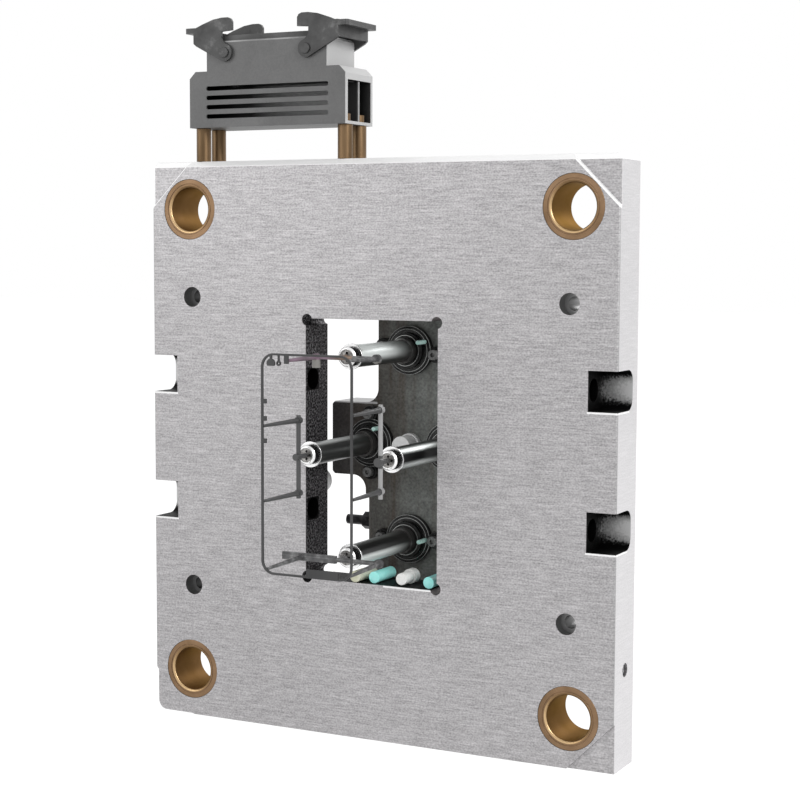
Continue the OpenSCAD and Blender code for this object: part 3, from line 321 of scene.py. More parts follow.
relief = in_window * ((across > window_side + hair) + (abs(up) > window_end + hair)) * rightward
on_floor = (up < floor_skin - window_end) * (1 - relief)
scale_black = ground.ramp(
    fine_spots, (0.38, 0.003), (0.48, (0.065, 0.06, 0.065)), (0.60, (0.25, 0.24, 0.25)), (0.70, (0.38, 0.37, 0.38))
)
# Painted shade makes the window's floor near black, and painted light makes its right corner reliefs a lighter
# grey.
window_scale_and_shade = ground.mix(on_floor * 0.9, scale_black, 0.004)
window_scale_and_shade = ground.mix(relief * 0.85, window_scale_and_shade, (0.26, 0.235, 0.235))

# Painted shade over the pockets' black scale: near black at their inner end and their top and bottom walls,
# lighter towards the side face and their back.
from_middle = in_upper * abs(up - pocket_up) + in_lower * abs(up + pocket_down)
from_mouth = (depth - pocket_lit_from).larger(0.0) * 35.0 + (across - (pocket_floor - margin)) * 40.0
pocket_shade_share = from_mouth * (1 - (from_middle * 95.0) ** 2.0) + 0.8 * (fine_spots - 0.5)
pocket_scale_and_shade = ground.ramp(pocket_shade_share, (0.10, 0.002), (0.28, 0.05), (0.48, 0.29), (1.0, 0.56))

plate_color = ground.mix(in_window, ground.shade(milled_with_lit_side, tone), window_scale_and_shade)
plate_color = ground.mix(in_pocket, plate_color, pocket_scale_and_shade)
# Painted shade: the bolt holes are painted a darker grey and the water bores near black.
plate_color = ground.mix(in_hole, plate_color, 0.24)
ground.set("Base Color", ground.mix(in_bore, plate_color, 0.004))
ground.set("Roughness", 0.34 + 0.12 * strokes + 0.2 * scaled)
ground.set("Metallic", 0.92 - 0.7 * top_and_edge_highlight * (1 - scaled))
ground.bump(strokes * 0.6 + grain * 0.4, 0.00006, 0.35)
worked("nozzle_plate", 0.0004, ground, "base")

# Tapped holes of the plate: the cut thread turns just inside each drilled wall.
# The lifting hole is in the top edge and the transport holes are low in the two side edges.
thread_steel = Finish("cut thread", metallic=0.9, roughness=0.4)
thread_steel.set("Base Color", thread_steel.shade((0.42, 0.42, 0.43), 0.8 + 0.4 * thread_steel.noise(500.0)))


class Pattern(Recipe):
    """A Geometry Nodes tree with named inputs that ends in real geometry and one finish."""

    def __init__(self, name, **inputs):
        super().__init__(bpy.data.node_groups.new(name, "GeometryNodeTree"))
        sockets = self.tree.interface
        sockets.new_socket("Geometry", in_out="OUTPUT", socket_type="NodeSocketGeometry")
        for label, kind in inputs.items():
            sockets.new_socket(label.replace("_", " "), in_out="INPUT", socket_type="NodeSocket" + kind)
        sockets.new_socket("Finish", in_out="INPUT", socket_type="NodeSocketMaterial")
        self.entry = self.tree.nodes.new("NodeGroupInput")

    def given(self, label):
        return Term(self, self.entry.outputs[label])

    def close(self, geometry):
        real = self.node("GeometryNodeRealizeInstances", None, {0: geometry})
        smooth = self.node("GeometryNodeSetShadeSmooth", None, {0: real})
        finished = {"Geometry": smooth, "Material": self.given("Finish")}
        painted = self.node("GeometryNodeSetMaterial", None, finished)
        self.feed(self.tree.nodes.new("NodeGroupOutput").inputs[0], painted)


def grown(name, pattern, inputs, finish, body):
    """Runs a pattern on an empty mesh and keeps its result as a plain piece."""
    seed = linked(name + ".seed", bpy.data.meshes.new(name + ".seed"))
    maker = seed.modifiers.new(name, "NODES")
    maker.node_group = pattern.tree
    inputs = {**inputs, "Finish": finish.material}
    for item in pattern.tree.interface.items_tree:
        if item.item_type == "SOCKET" and item.in_out == "INPUT":
            maker[item.identifier] = inputs[item.name]
    piece = linked(name, plain_mesh(seed))
    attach(piece, body)


thread = Pattern(
    "thread turns", Radius="Float", Depth="Float", Turns="Float", Crest="Float", Mouth="Vector", Aim="Vector"
)
turn_line = thread.node(
    "GeometryNodeCurveSpiral", None,
    {
        "Resolution": 40, "Rotations": thread.given("Turns"), "Height": thread.given("Depth"),
        "Start Radius": thread.given("Radius"), "End Radius": thread.given("Radius"),
    },
)
crest_line = thread.node(
    "GeometryNodeCurvePrimitiveCircle", {"mode": "RADIUS"}, {"Resolution": 5, "Radius": thread.given("Crest")}
)
turns = thread.node(
    "GeometryNodeCurveToMesh", None, {"Curve": turn_line, "Profile Curve": crest_line, "Fill Caps": True}
)
thread.close(thread.node(
    "GeometryNodeTransform", None,
    {"Geometry": turns, "Translation": thread.given("Mouth"), "Rotation": thread.given("Aim")},
))
top_start, side_start = 0.028, 0.0175
side_hole_depth, side_hole_z = 0.0196, 0.064
side_hole_y = plate_front + side_hole_depth
lifting_thread, side_thread = (0.007, 0.026, 0.002), (0.0045, 0.016, 0.0015)
quarter = math.radians(90)
crest_share = 0.26
for name, (radius, length, pitch), mouth, aim in (
    ("lifting_hole_thread", lifting_thread, (0, middle_y, plate_high.z - top_start), (0, 0, 0)),
    ("left_side_thread", side_thread, (plate_low.x + side_start, side_hole_y, side_hole_z), (0, -quarter, 0)),
    ("right_side_thread", side_thread, (plate_high.x - side_start, side_hole_y, side_hole_z), (0, quarter, 0)),
):
    sizes = {"Radius": radius, "Depth": length, "Turns": length / pitch, "Crest": pitch * crest_share}
    grown(name, thread, {**sizes, "Mouth": mouth, "Aim": aim}, thread_steel, "base")

# Guide bushes: cast bronze, turned and reamed, pressed in from the front until the flange is flush.
# Fine turning rings show on the flange, the bore has a honed sheen, and the lead-in carries a painted highlight
# that is brightest at its lower left.
lead_from, bore_radius, lead_to = 0.0151, 0.0152, 0.0166
for index in range(1, 5):
    middle = middle_of(f"guide_bush_{index}")
    bronze = Finish(f"turned bronze {index}", metallic=1.0, Specular_Tint=(0.85, 0.68, 0.45, 1))
    rings = bronze.node(
        "ShaderNodeTexWave", {"wave_type": "RINGS", "rings_direction": "Y"},
        {"Vector": bronze.place(centre=middle), "Scale": 420.0, "Distortion": 0.4, "Detail": 1.0},
    )
    stain = bronze.noise(60.0, detail=3.0)
    flange = bronze.ramp(stain, (0.35, (0.190, 0.119, 0.067)), (0.7, (0.282, 0.180, 0.106)))
    bore_brown = bronze.ramp(stain, (0.35, (0.180, 0.100, 0.042)), (0.7, (0.26, 0.150, 0.070)))
    from_axis = bronze.radius(middle)
    in_bush = from_axis < bore_radius
    lead_in = (from_axis < lead_to) * (from_axis > lead_from)
    # The lead-in is painted with a highlight, brightest at its lower left.
    highlight_slope = (bronze.axis("X", middle) + bronze.axis("Z", middle)) * -28.0 + 0.5
    lead_in_highlight = bronze.ramp(
        highlight_slope, (0.25, (0.18, 0.112, 0.056)), (0.6, (0.30, 0.19, 0.095)), (0.95, (0.56, 0.39, 0.21))
    )
    tinted = bronze.mix(lead_in, bronze.mix(in_bush, flange, bore_brown), lead_in_highlight)
    bronze.set("Base Color", bronze.shade(tinted, 0.80 + 0.4 * rings))
    bronze.set("Roughness", 0.26 + 0.1 * rings + 0.1 * stain + 0.25 * in_bush)
    bronze.bump(rings, 0.00003, 0.3)
    worked(f"guide_bush_{index}", 0.00015, bronze, "base")

# Manifold: a hot-work steel cross, milled and gun-drilled, darkened by its own heat.
# Its flanks show cutter marks and its faces carry brown runs of burnt release agent.
heated = Finish("heat-darkened steel", metallic=0.55)
runs = heated.noise((130, 130, 9), detail=3.0, rough=0.6)
blotch = heated.noise(34.0, detail=4.0, rough=0.6)
specks = heated.noise(640.0, detail=1.0)
sideways = heated.axis("X")
level = heated.axis("Z", (0, 0, plate_middle))
left_share = heated.ramp(sideways * 12.0 + 0.5, (0.25, 1.0), (0.5, 0.25), (0.85, 0.0))
run_share = heated.ramp(runs, (0.46, 0.0), (0.66, 0.8))
# The left arm goes near black towards its end.
arm_share = heated.ramp(sideways * 14.0 + 1.0, (0.1, 0.8), (0.6, 0.0))
bar_side, top_from, top_to = 0.0268, 0.0271, 0.0286
# The arms' top faces are painted pale as a highlight.
arm_top_highlight = (level > top_from) * (level < top_to) * (abs(sideways) > bar_side)
browned = heated.ramp(
    blotch, (0.3, (0.110, 0.115, 0.108)), (0.5, (0.168, 0.178, 0.169)), (0.75, (0.26, 0.275, 0.262))
)
browned = heated.mix(run_share * (0.28 + 0.65 * left_share), browned, (0.085, 0.058, 0.040))
browned = heated.mix(left_share * 0.45, browned, (0.075, 0.055, 0.042))
browned = heated.mix(arm_share, browned, (0.022, 0.018, 0.022))
heated.set("Base Color", heated.mix(arm_top_highlight, heated.shade(browned, 0.45 + 1.1 * specks), 0.62))
heated.set("Roughness", 0.48 + 0.2 * blotch)
heated.bump(specks * 0.5 + runs * 0.5, 0.0001, 0.3)
worked("manifold_block", 0.0008, heated, "base", segments=3)

# Small turned fittings of the manifold: channel plugs, posts and back-up pads.
# All are hardened steel, turned and left with a thin straw to grey temper.
turned = Finish("turned tool steel", metallic=0.95)
temper = turned.noise(90.0, detail=2.0)
turned.set("Base Color", turned.ramp(temper, (0.35, (0.26, 0.25, 0.24)), (0.7, (0.42, 0.41, 0.40))))
turned.set("Roughness", 0.3 + 0.18 * temper)
turned.bump(turned.noise((300, 1500, 300), detail=1.0), 0.00003, 0.4)
for node in ("manifold_plugs", "support_posts", "backup_pads"):
    worked(node, 0.0003, turned, "base")

# Screws of the manifold and its screwed probe: alloy steel with a satin black oxide.
# Post bolts draw the manifold down on the posts, and pad screws are sunk in the pads.
oxide = Finish("black oxide", metallic=0.7)
rubbed = oxide.noise(260.0, detail=3.0)
oxide.set("Base Color", oxide.ramp(rubbed, (0.4, (0.018, 0.018, 0.02)), (0.75, (0.07, 0.07, 0.075))))
oxide.set("Roughness", 0.32 + 0.22 * rubbed)
oxide.bump(rubbed, 0.00005, 0.3)
for node in ("post_bolts", "pad_screws"):
    worked(node, 0.00025, oxide, "base")
worked("manifold_thermocouple", 0.00025, oxide, "base")

# Tubular heater and the band heater of the sprue: a nickel-chrome sheath, bent cold and pressed in place.
# It runs hot, so straw and blue colours lie along it.
sheath = Finish("heat-tinted sheath", metallic=0.95)
tint = sheath.noise(45.0, detail=2.0)
sheath.set("Base Color", sheath.ramp(
    tint, (0.34, (0.20, 0.21, 0.26)), (0.5, (0.36, 0.28, 0.20)), (0.68, (0.50, 0.42, 0.33))
))
sheath.set("Roughness", 0.3 + 0.2 * sheath.noise(500.0))
sheath.bump(sheath.noise(700.0), 0.00004, 0.3)
for node in ("manifold_heater", "sprue_band_heater"):
    worked(node, 0.0002, sheath, "base")

# Sprue bushing: hardened and polished steel, bright from the machine's nozzle.
# The insert screws and the housing screws share this finish.
bright = Finish("polished steel", metallic=1.0)
wipe = bright.noise((160, 26, 160), detail=3.0)
bright.set("Base Color", bright.ramp(wipe, (0.3, 0.62), (0.7, (0.80, 0.80, 0.79))))
bright.set("Roughness", 0.12 + 0.14 * wipe)
bright.bump(bright.noise((900, 60, 900), detail=1.0), 0.00002, 0.25)
worked("sprue_bushing", 0.0003, bright, "base")

# Stop buttons: hardened discs on the plate's back, one on each side of the window.
# They are lapped to one height, which leaves them pale and matte.
matte = Finish("lapped steel", metallic=0.05)
lapping = matte.noise(500.0, detail=2.0)
matte.set("Base Color", matte.ramp(lapping, (0.3, 0.93), (0.7, 0.98)))
matte.set("Roughness", 0.4 + 0.1 * lapping)
matte.bump(lapping, 0.00002, 0.25)
worked("stop_buttons", 0.0003, matte, "base")

# Nozzles: a hardened body with a sleeve heater round it and a screwed tip nut over the torpedo.
# Barrel and nut are polished, with painted shade in the groove behind the nose; each barrel carries its own
# painted bands of reflection and is painted dark towards its back as shade.
nozzles = range(1, 5)
barrel_width = 0.015
ring_highlights_per_metre = 480.0
groove_from, groove_to, groove_radius = 0.0013, 0.0056, 0.0068
# Painted reflection bands for each barrel: its metallic share, then stops of height and grey.
barrel_reflection_bands = {
    1: (0.35, ((0.0, 0.02), (0.20, 0.03), (0.34, 0.26), (0.50, 0.62), (0.75, 0.78), (0.9, 0.90))),
    2: (0.45, ((0.0, 0.20), (0.08, 0.03), (0.45, 0.035), (0.58, 0.09), (0.68, 0.035), (0.86, 0.06), (0.96, 0.30))),
    3: (0.55, ((0.0, 0.34), (0.14, 0.55), (0.30, 0.26), (0.40, 0.010),
               (0.70, 0.012), (0.80, 0.50), (0.90, 0.62), (0.98, 0.02))),
    4: (0.35, ((0.0, 0.55), (0.22, 0.75), (0.40, 0.88), (0.50, 0.45), (0.58, 0.012), (0.92, 0.014), (1.0, 0.22))),
}
for index in nozzles:
    low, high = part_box(f"nozzle_heater_{index}")
    middle = middle_of(f"nozzle_heater_{index}")
    shine, bands = barrel_reflection_bands[index]
    barrel = Finish(f"nozzle barrel {index}", metallic=shine)
    wipes = barrel.noise((170, 22, 170), detail=3.0)
    along = barrel.axis("Y", (0, low.y, 0)) / (high.y - low.y)
    # Painted shade darkens the barrel towards its back.
    back_shade = barrel.ramp(along + 0.18 * (wipes - 0.5), (0.62, 0.0), (0.95, 1.0))
    height = barrel.axis("Z", middle) * (1 / barrel_width) + 0.5
    greenish = [(spot, (0.95 * grey, grey, 0.98 * grey)) for spot, grey in bands]
    barrel_reflections = barrel.ramp(height + 0.10 * (wipes - 0.5), *greenish)
    barrel.set("Base Color", barrel.mix(back_shade, barrel.shade(barrel_reflections, 0.8 + 0.4 * wipes), (0.045, 0.042, 0.040)))
    barrel.set("Roughness", 0.22 + 0.2 * wipes)
    barrel.bump(wipes, 0.00002, 0.3)
    worked(f"nozzle_heater_{index}", 0.0003, barrel, "base")

    hard = Finish(f"hardened head {index}", metallic=0.9)
    hard_haze = hard.noise(150.0, detail=3.0)
    hard_black = hard.ramp(hard_haze, (0.35, 0.012), (0.7, (0.048, 0.048, 0.047)))
    # Thin light rings on the face are painted highlights of its turned steps.
    ring_highlight = (hard.radius(middle) * ring_highlights_per_metre).fraction() < 0.16
    hard.set("Base Color", hard.mix(ring_highlight, hard_black, (0.42, 0.43, 0.42)))
    hard.set("Roughness", 0.28 + 0.16 * hard_haze)
    hard.bump(hard_haze, 0.00003, 0.3)
    worked(f"nozzle_body_{index}", 0.0003, hard, "base")

    nut = Finish(f"tip nut {index}", metallic=1.0)
    nut_wipe = nut.noise(300.0, detail=2.0)
    nut_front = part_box(f"tip_nut_{index}")[0].y
    from_front = nut.axis("Y", (0, nut_front, 0))
    near_axis = nut.radius(middle_of(f"tip_nut_{index}")) < groove_radius
    # The groove behind the nose is painted near black as shade.
    groove_shade = (from_front > groove_from) * (from_front < groove_to) * near_axis
    nut.set("Base Color", nut.mix(groove_shade, nut.ramp(nut_wipe, (0.3, 0.80), (0.7, 0.95)), 0.010))
    nut.set("Roughness", 0.16 + 0.14 * nut_wipe + 0.5 * groove_shade)
    nut.bump(nut_wipe, 0.00002, 0.25)
    worked(f"tip_nut_{index}", 0.0002, nut, "base")

# Torpedo tips: copper alloy under hard nickel, turned to a needle that stands in the gate.
# The plating has dulled to grey, with a trace of the alloy's warmth where it has worn.
copper = Finish("nickelled copper alloy", metallic=0.9)
dull = copper.noise(700.0, detail=2.0)
copper.set("Base Color", copper.ramp(dull, (0.35, (0.16, 0.155, 0.15)), (0.75, (0.50, 0.49, 0.475))))
copper.set("Roughness", 0.3 + 0.2 * dull)
copper.bump(dull, 0.00003, 0.3)
for index in nozzles:
    worked(f"torpedo_tip_{index}", 0.0, copper, "base")

# Clamp rings: blackened steel ovals that hold the nozzle heads to the manifold.
# Thin bright rings are painted on them as highlights of their turned steps, and their socket-head screws are a
# dull grey.
ring_steel = Finish("blackened ring steel", metallic=0.9)
haze = ring_steel.noise(150.0, detail=3.0)
nearest, *others = [ring_steel.radius(middle_of(f"nozzle_heater_{index}")) for index in nozzles]
for reach in others:
    nearest = nearest.smaller(reach)
turned_radius = 0.0174
# Thin light rings are painted highlights of the turned steps.
ring_highlight = ((nearest * ring_highlights_per_metre).fraction() < 0.14) * (nearest < turned_radius)
ring_black = ring_steel.ramp(haze, (0.35, 0.014), (0.72, (0.055, 0.055, 0.054)))
ring_steel.set("Base Color", ring_steel.mix(ring_highlight, ring_black, (0.36, 0.37, 0.36)))
ring_steel.set("Roughness", 0.28 + 0.16 * haze)
ring_steel.bump(haze, 0.00004, 0.3)
worked("nozzle_clamps", 0.0003, ring_steel, "base")
screw_grey = Finish("dull screw steel", metallic=0.6)
screw_haze = screw_grey.noise(400.0, detail=2.0)
screw_grey.set("Base Color", screw_grey.ramp(screw_haze, (0.35, 0.15), (0.75, (0.27, 0.27, 0.265))))
screw_grey.bump(screw_haze, 0.00005, 0.4)
worked("clamp_screws", 0.0003, screw_grey, "base")

# Lead sleeves and thermocouple pins: drawn tubes of mint-coloured silicone over glass braid.
# They are cut square and slightly dusty, and the pins have faded in the heat.
for node, name, darker, lighter in (
    ("lead_sleeves", "mint silicone", (0.34, 0.95, 0.89), (0.46, 0.99, 0.95)),
    ("thermocouple_pins", "faded mint silicone", (0.55, 0.93, 0.84), (0.74, 1.0, 0.94)),
):
    mint = Finish(name, roughness=0.42)
    dust = mint.noise(420.0, detail=2.0)
    mint.set("Base Color", mint.ramp(dust, (0.3, darker), (0.7, lighter)))
    mint.bump(mint.noise(1400.0), 0.00005, 0.3)
    worked(node, 0.0003, mint, "base")

# Centring pin and ferrules: pressed steatite, matte and off-white with a sandy skin.
# The pin stands in the manifold's middle, and the ferrules lie loose on the window's floor, one gone cream.
steatite = Finish("steatite", roughness=0.5)
sand = steatite.noise(700.0, detail=2.0)
steatite.set("Base Color", steatite.ramp(sand, (0.3, (0.94, 0.95, 0.94)), (0.7, 1.0)))
steatite.bump(sand, 0.00008, 0.4)
worked("centring_pin", 0.0004, steatite, "base")
cream = Finish("cream steatite", roughness=0.5)
cream_sand = cream.noise(700.0, detail=2.0)
used = cream.ramp(cream.axis("X") * 30.0 + 0.5, (0.15, (0.62, 0.62, 0.46)), (0.6, (0.92, 0.92, 0.90)))
cream.set("Base Color", cream.shade(used, 0.85 + 0.3 * cream_sand))
cream.bump(cream_sand, 0.00008, 0.4)
worked("lead_ferrules", 0.0004, cream, "base")


# Wiring box: a zinc die casting, powder-coated grey, its edges rounded by the die.
# Its right end and shoulder are painted paler as light, and inside it is painted near black as shade that lightens
# only at the right end.
def powder_coated(node):
    """The castings' grey skin, their large patches and the finish that carries both."""
    coat = Finish("powder-coated " + node, metallic=0.25)
    orange_peel = coat.noise(900.0, detail=2.0)
    patches = coat.noise(30.0, detail=3.0)
    coat.set("Roughness", 0.42 + 0.14 * patches)
    coat.bump(orange_peel, 0.00008, 0.4)
    return coat, patches, coat.ramp(patches * 0.7 + orange_peel * 0.3, (0.35, 0.100), (0.65, 0.145))


end_skin, lit_end_grey = 0.0006, 0.46
box_low, box_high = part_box("wiring_box")
box_middle = middle_of("wiring_box")
half_deep, half_high = (box_high.y - box_low.y) / 2, (box_high.z - box_low.z) / 2
side_wall, bottom_wall, top_wall, end_wall, shoulder_reach = 0.0010, 0.0022, 0.0088, 0.0004, 0.0052
box_coat, _, box_grey = powder_coated("wiring_box")
# The right end and the shoulder are painted paler, as light from the right.
right_end = box_coat.axis("X", (box_high.x - end_skin, 0, 0)) > 0
shoulder = box_coat.axis("X", (box_high.x, 0, 0)) + box_coat.axis("Z", (0, 0, box_high.z)) > -shoulder_reach
box_grey = box_coat.mix(right_end.larger(shoulder), box_grey, lit_end_grey)
height_in = box_coat.axis("Z", box_middle)
inside = (abs(box_coat.axis("Y", box_middle)) < half_deep - side_wall) * (height_in > bottom_wall - half_high)
inside = inside * (height_in < half_high - top_wall)
inside = inside * (box_coat.axis("X", (box_high.x - end_wall, 0, 0)) < 0)
# Inside, the box is painted near black as shade, lightening only near its right end.
along_box = box_coat.axis("X", (box_low.x, 0, 0)) / (box_high.x - box_low.x)
inner_shade = box_coat.ramp(along_box, (0.80, 0.002), (0.93, 0.02), (1.0, 0.12))
box_coat.set("Base Color", box_coat.mix(inside, box_grey, inner_shade))
box_coat.set("Metallic", 0.25 + 0.7 * inside)
worked("wiring_box", 0.0007, box_coat, "base", segments=3)

# Connector neck: a second casting with the same coat, held on the box by four countersunk screws.
# The lip is dark in patches, above a thin line painted bright as a highlight.
neck_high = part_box("connector_housing")[1]
lip_drop, rim_drop, rim_half = 0.0034, 0.0043, 0.0006
neck_coat, neck_patches, neck_grey = powder_coated("connector_housing")
lip = neck_coat.axis("Z", (0, 0, neck_high.z - lip_drop)) > 0
neck_grey = neck_coat.mix(lip * neck_coat.ramp(neck_patches, (0.40, 0.85), (0.62, 0.3)), neck_grey, 0.02)
# The right end is painted paler as light, like the box's.
right_end = neck_coat.axis("X", (neck_high.x - end_skin, 0, 0)) > 0
neck_grey = neck_coat.mix(right_end, neck_grey, lit_end_grey)
rim = abs(neck_coat.axis("Z", (0, 0, neck_high.z - rim_drop))) < rim_half
rim_highlight = rim * neck_coat.ramp(neck_patches, (0.42, 0.2), (0.58, 1.0))
neck_coat.set("Base Color", neck_coat.mix(rim_highlight, neck_grey, 0.40))
worked("connector_housing", 0.0007, neck_coat, "base", segments=3)
worked("housing_screws", 0.0001, bright, "base")

# Terminal plate: blackened sheet down the middle of the box, with two rows of slotted screws on its back.
# Painted shade darkens its left end and a band near its right end, and painted light brightens its middle and its
# right edge.
zinc = Finish("blackened sheet", metallic=0.4)
spangle = zinc.node("ShaderNodeTexVoronoi", None, {"Vector": zinc.place((240, 240, 240)), "Scale": 1.0})
low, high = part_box("terminal_plate")
along_plate = zinc.axis("X", (low.x, 0, 0)) / (high.x - low.x)
plate_shade_and_light = zinc.ramp(
    along_plate, (0.30, 0.003), (0.44, 0.15), (0.62, 0.30), (0.85, 0.28), (0.92, 0.008), (0.99, 0.02), (1.0, 0.36)
)
zinc.set("Base Color", zinc.shade(plate_shade_and_light, 0.85 + 0.3 * spangle))
zinc.set("Roughness", 0.5 + 0.14 * spangle)
zinc.bump(spangle, 0.00003, 0.2)
worked("terminal_plate", 0.0002, zinc, "base")
row = Pattern(
    "screw row", Count="Int", Pitch="Float", Head_Radius="Float", Head_Height="Float", Start="Vector", Aim="Vector"
)
step = row.node("ShaderNodeCombineXYZ", None, {0: row.given("Pitch")})
row_line = row.node(
    "GeometryNodeMeshLine", {"mode": "OFFSET"},
    {"Count": row.given("Count"), "Start Location": row.given("Start"), "Offset": step},
)
head = row.node(
    "GeometryNodeMeshCylinder", {"fill_type": "NGON"},
    {"Vertices": 20, "Radius": row.given("Head Radius"), "Depth": row.given("Head Height")},
)
slot_up = row.node("ShaderNodeCombineXYZ", None, {2: row.given("Head Height") * 0.5})
slot_size = (0.0006, 0.004, 0.0007)
slot_bar = row.node("GeometryNodeMeshCube", None, {"Size": slot_size})
slot_bar = row.node("GeometryNodeTransform", None, {"Geometry": slot_bar, "Translation": slot_up})
slotted = row.node("GeometryNodeMeshBoolean", {"operation": "DIFFERENCE"}, {"Mesh 1": head, "Mesh 2": slot_bar})
row.close(row.node(
    "GeometryNodeInstanceOnPoints", None, {"Points": row_line, "Instance": slotted, "Rotation": row.given("Aim")}
))
screws_per_row, screw_pitch, head_rise = 8, 0.012, 0.0008
row_start = middle_of("terminal_plate").x - (screws_per_row - 1) * screw_pitch / 2
row_sizes = {
    "Count": screws_per_row, "Pitch": screw_pitch, "Head Radius": 0.0022, "Head Height": 0.0015,
    "Aim": (-quarter, 0, 0),
}
for name, height in (("terminals_upper", 0.018), ("terminals_lower", 0.010)):
    start = (row_start, high.y + head_rise, low.z + height)
    grown(name, row, {**row_sizes, "Start": start}, turned, "base")

# Pillars and their screws: free-cutting brass, turned to one length and polished by handling.
# They lift the box clear of the plate so that its heat stays below.
pillar_brass = Finish("turned brass", metallic=0.8)
polish = pillar_brass.noise((240, 240, 30), detail=3.0)
pillar_brass.set("Base Color", pillar_brass.ramp(
    polish, (0.3, (0.112, 0.069, 0.033)), (0.7, (0.205, 0.130, 0.068))
))
pillar_brass.set("Roughness", 0.30 + 0.16 * polish)
pillar_brass.bump(pillar_brass.noise((300, 300, 1800), detail=1.0), 0.00003, 0.4)
for node in ("spacer_pillars", "pillar_screws"):
    worked(node, 0.0003, pillar_brass, "base")

# Contact insert: glass-filled plastic with two rows of turned pins and a screw at each end.
# It sits in the mating well below the lip.
insert_black = Finish("glass-filled plastic", roughness=0.45)
fleck = insert_black.noise(800.0, detail=1.0)
insert_black.set("Base Color", insert_black.ramp(
    fleck, (0.4, (0.028, 0.028, 0.030)), (0.75, (0.055, 0.055, 0.058))
))
insert_black.bump(fleck, 0.00005, 0.3)
worked("contact_insert", 0.0004, insert_black, "base")
plated = Finish("plated contact", metallic=1.0)
gleam = plated.noise(300.0)
plated.set("Base Color", plated.ramp(gleam, (0.3, (0.62, 0.45, 0.18)), (0.7, (0.80, 0.62, 0.28))))
plated.set("Roughness", 0.18 + 0.12 * gleam)
worked("contact_pins", 0.0002, plated, "base")
worked("insert_screws", 0.0002, bright, "base")

# Locking levers: stamped and folded steel, painted gunmetal and worn in patches by use.
# Each swings on two pins pressed in the neck and hooks over pegs of the plug.
gunmetal = Finish("gunmetal paint", metallic=0.55)
wear = gunmetal.noise(80.0, detail=4.0, rough=0.6)
gunmetal.set("Base Color", gunmetal.ramp(wear, (0.35, 0.038), (0.60, 0.070), (0.76, 0.17)))
gunmetal.set("Roughness", 0.36 + 0.16 * wear)
gunmetal.bump(gunmetal.noise(1100.0, detail=1.0), 0.00005, 0.4)
worked("lever_left", 0.0004, gunmetal, "left_lever")
worked("lever_right", 0.0004, gunmetal, "right_lever")
worked("lever_pivots", 0.0003, gunmetal, "base")

# Moulding: a thin frame of glass-filled grey plastic, glossy where the mould's steel was polished.
# It comes out of the mould still joined to its cold runners.
grey_plastic = Finish("moulded grey plastic", roughness=0.34)
flow = grey_plastic.noise((40, 40, 12), detail=3.0)
grey_plastic.set("Base Color", grey_plastic.ramp(
    flow, (0.3, (0.026, 0.026, 0.027)), (0.7, (0.054, 0.054, 0.055))
))
grey_plastic.bump(grey_plastic.noise(900.0), 0.00005, 0.3)
worked("moulded_frame", 0.0003, grey_plastic, "moulding")

# Side runners: upright bars on the left and right nozzles, from the same shot.
# The right bar is paler, but for the disc over its nozzle.
pale_plastic = Finish("side runner plastic", roughness=0.34)
pale_flow = pale_plastic.noise((40, 40, 12), detail=3.0)
bar_y, bar_half, disc_radius = -0.05975, 0.0019, 0.0042
in_bar = abs(pale_plastic.axis("Y", (0, bar_y, 0))) < bar_half
off_disc = abs(pale_plastic.axis("Z", (0, 0, plate_middle))) > disc_radius
right_bar = (pale_plastic.axis("X") > 0) * in_bar * off_disc
sides = pale_plastic.mix(right_bar, (0.065, 0.065, 0.066), 0.33)
pale_plastic.set("Base Color", pale_plastic.shade(sides, 0.7 + 0.6 * pale_flow))
pale_plastic.bump(pale_plastic.noise(900.0), 0.00005, 0.3)
worked("side_runners", 0.0003, pale_plastic, "moulding")

# End runners: cross bars on the upper and lower nozzles, streaked grey by the flow.
# The upper one is scorched pink and copper round its gate, and the lug that hangs from it is pale.
flash_plastic = Finish("warm runner plastic", roughness=0.3)
warm = flash_plastic.noise((26, 60, 60), detail=2.0)
scorch_x, scorch_reach, runner_drop, lug_drop = -0.004, 0.014, 0.0031, 0.0016
crossing = flash_plastic.axis("X", (scorch_x, 0, 0))
upper_runner = flash_plastic.axis("Z", (0, 0, plate_middle)) > 0
runner_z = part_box("end_runners")[1].z - runner_drop
hanging = flash_plastic.axis("Z", (0, 0, runner_z)) < -lug_drop
scorched = upper_runner * (1 - hanging) * (abs(crossing) < scorch_reach)
scorched = scorched * flash_plastic.ramp(warm, (0.35, 0.4), (0.6, 1.0))
streaked = flash_plastic.ramp(
    flash_plastic.noise(160.0, detail=3.0), (0.3, (0.045, 0.045, 0.046)), (0.5, (0.10, 0.10, 0.102)), (0.72, 0.27)
)
streaked = flash_plastic.mix(upper_runner * hanging, streaked, (0.22, 0.215, 0.20))
scorch_tint = flash_plastic.ramp(
    crossing * 30.0 + 0.5, (0.1, (0.17, 0.12, 0.15)), (0.35, (0.30, 0.19, 0.26)),
    (0.6, (0.16, 0.10, 0.07)), (0.95, (0.30, 0.19, 0.12)),
)
flash_plastic.set("Base Color", flash_plastic.mix(scorched, streaked, scorch_tint))
flash_plastic.bump(flash_plastic.noise(900.0), 0.00005, 0.3)
worked("end_runners", 0.0003, flash_plastic, "moulding")

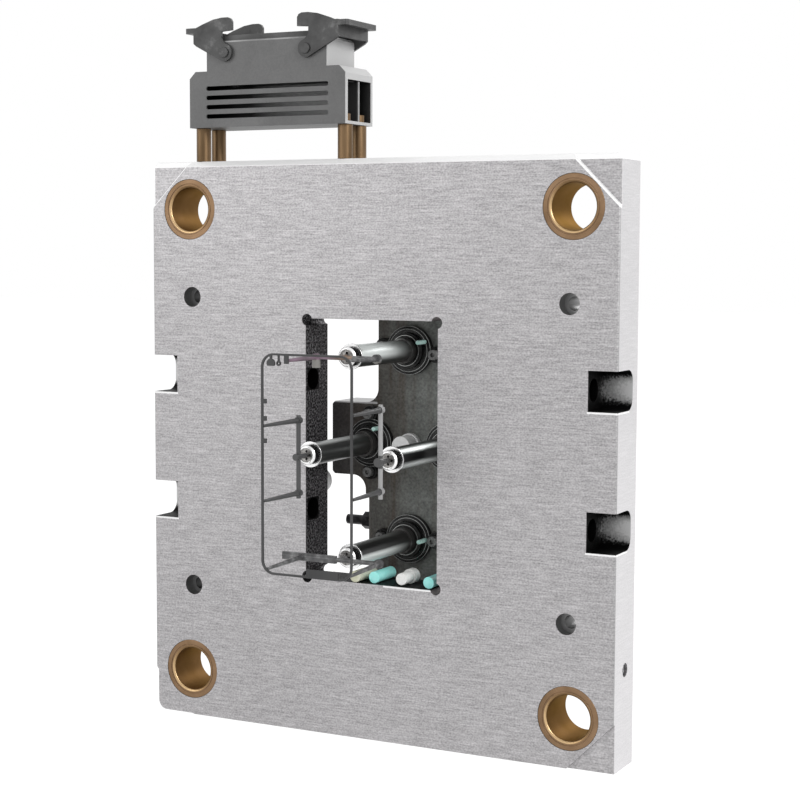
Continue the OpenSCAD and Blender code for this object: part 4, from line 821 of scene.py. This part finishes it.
# Studio: pale floor and white surround, with soft lamps from the right, the left and behind.
# The camera stands where the photograph was taken from.
white, floor_half = (1, 1, 1, 1), 8.0
floor_form = bmesh.new()
bmesh.ops.create_grid(floor_form, x_segments=1, y_segments=1, size=floor_half)
floor_mesh = bpy.data.meshes.new("floor")
floor_form.to_mesh(floor_mesh)
floor_form.free()
floor = linked("floor", floor_mesh)
pale = Finish("pale floor", roughness=0.9)
pale.set("Base Color", pale.mix(pale.noise(3.0), 0.86, 0.90))
lit = Term(pale, pale.shader.outputs[0])
glow = pale.node("ShaderNodeEmission", None, {"Color": white, "Strength": 1.4})
straight = pale.node("ShaderNodeLightPath", output="Is Camera Ray")
mirrored = pale.node("ShaderNodeLightPath", output="Is Glossy Ray")
blend = pale.node("ShaderNodeMixShader", None, {0: straight.larger(mirrored) * 0.6, 1: lit, 2: glow})
pale.feed(pale.tree.nodes["Material Output"].inputs["Surface"], blend)
floor_mesh.materials.append(pale.material)

world = bpy.data.worlds.new("surround")
world.use_nodes = True
bpy.context.scene.world = world
sky = Recipe(world.node_tree)
dim = sky.tree.nodes["Background"]
sky.feed(dim.inputs["Color"], white)
sky.feed(dim.inputs["Strength"], 0.55)
backdrop = sky.node("ShaderNodeBackground", None, {"Color": white, "Strength": 1.0})
straight, mirrored, through = [
    sky.node("ShaderNodeLightPath", output=f"Is {kind} Ray") for kind in ("Camera", "Glossy", "Transmission")
]
seen = straight.larger(mirrored).larger(through)
chosen = sky.node("ShaderNodeMixShader", None, {0: seen, 1: Term(sky, dim.outputs[0]), 2: backdrop})
sky.feed(sky.tree.nodes["World Output"].inputs["Surface"], chosen)

target = Vector((0, 0, 0.22))
for name, place, size, power in (
    ("right lamp", (1.9, -0.9, 1.3), 0.9, 26.0),
    ("left lamp", (-1.6, -1.8, 1.1), 1.2, 10.0),
    ("back lamp", (0.6, 1.9, 1.4), 1.0, 12.0),
):
    light = bpy.data.lights.new(name, "AREA")
    light.shape = "SQUARE"
    light.size = size
    light.energy = power
    lamp = linked(name, light)
    lamp.location = place
    lamp.rotation_euler = (target - Vector(place)).to_track_quat("-Z", "Y").to_euler()

azimuth, elevation, roll = (math.radians(a) for a in (27.44438, 4.85860, 0.205929))
eye = bpy.data.cameras.new("camera")
eye.sensor_width = 36.0
eye.lens = 80.72
camera = linked("camera", eye)
camera.location = (0.567316, -1.066686, 0.332980)
camera.rotation_euler = (
    Euler((math.pi / 2 - elevation, 0, azimuth), "XYZ").to_matrix() @ Euler((0, 0, roll), "XYZ").to_matrix()
).to_euler()
bpy.context.scene.camera = camera
bpy.context.scene.view_settings.view_transform = "Standard"
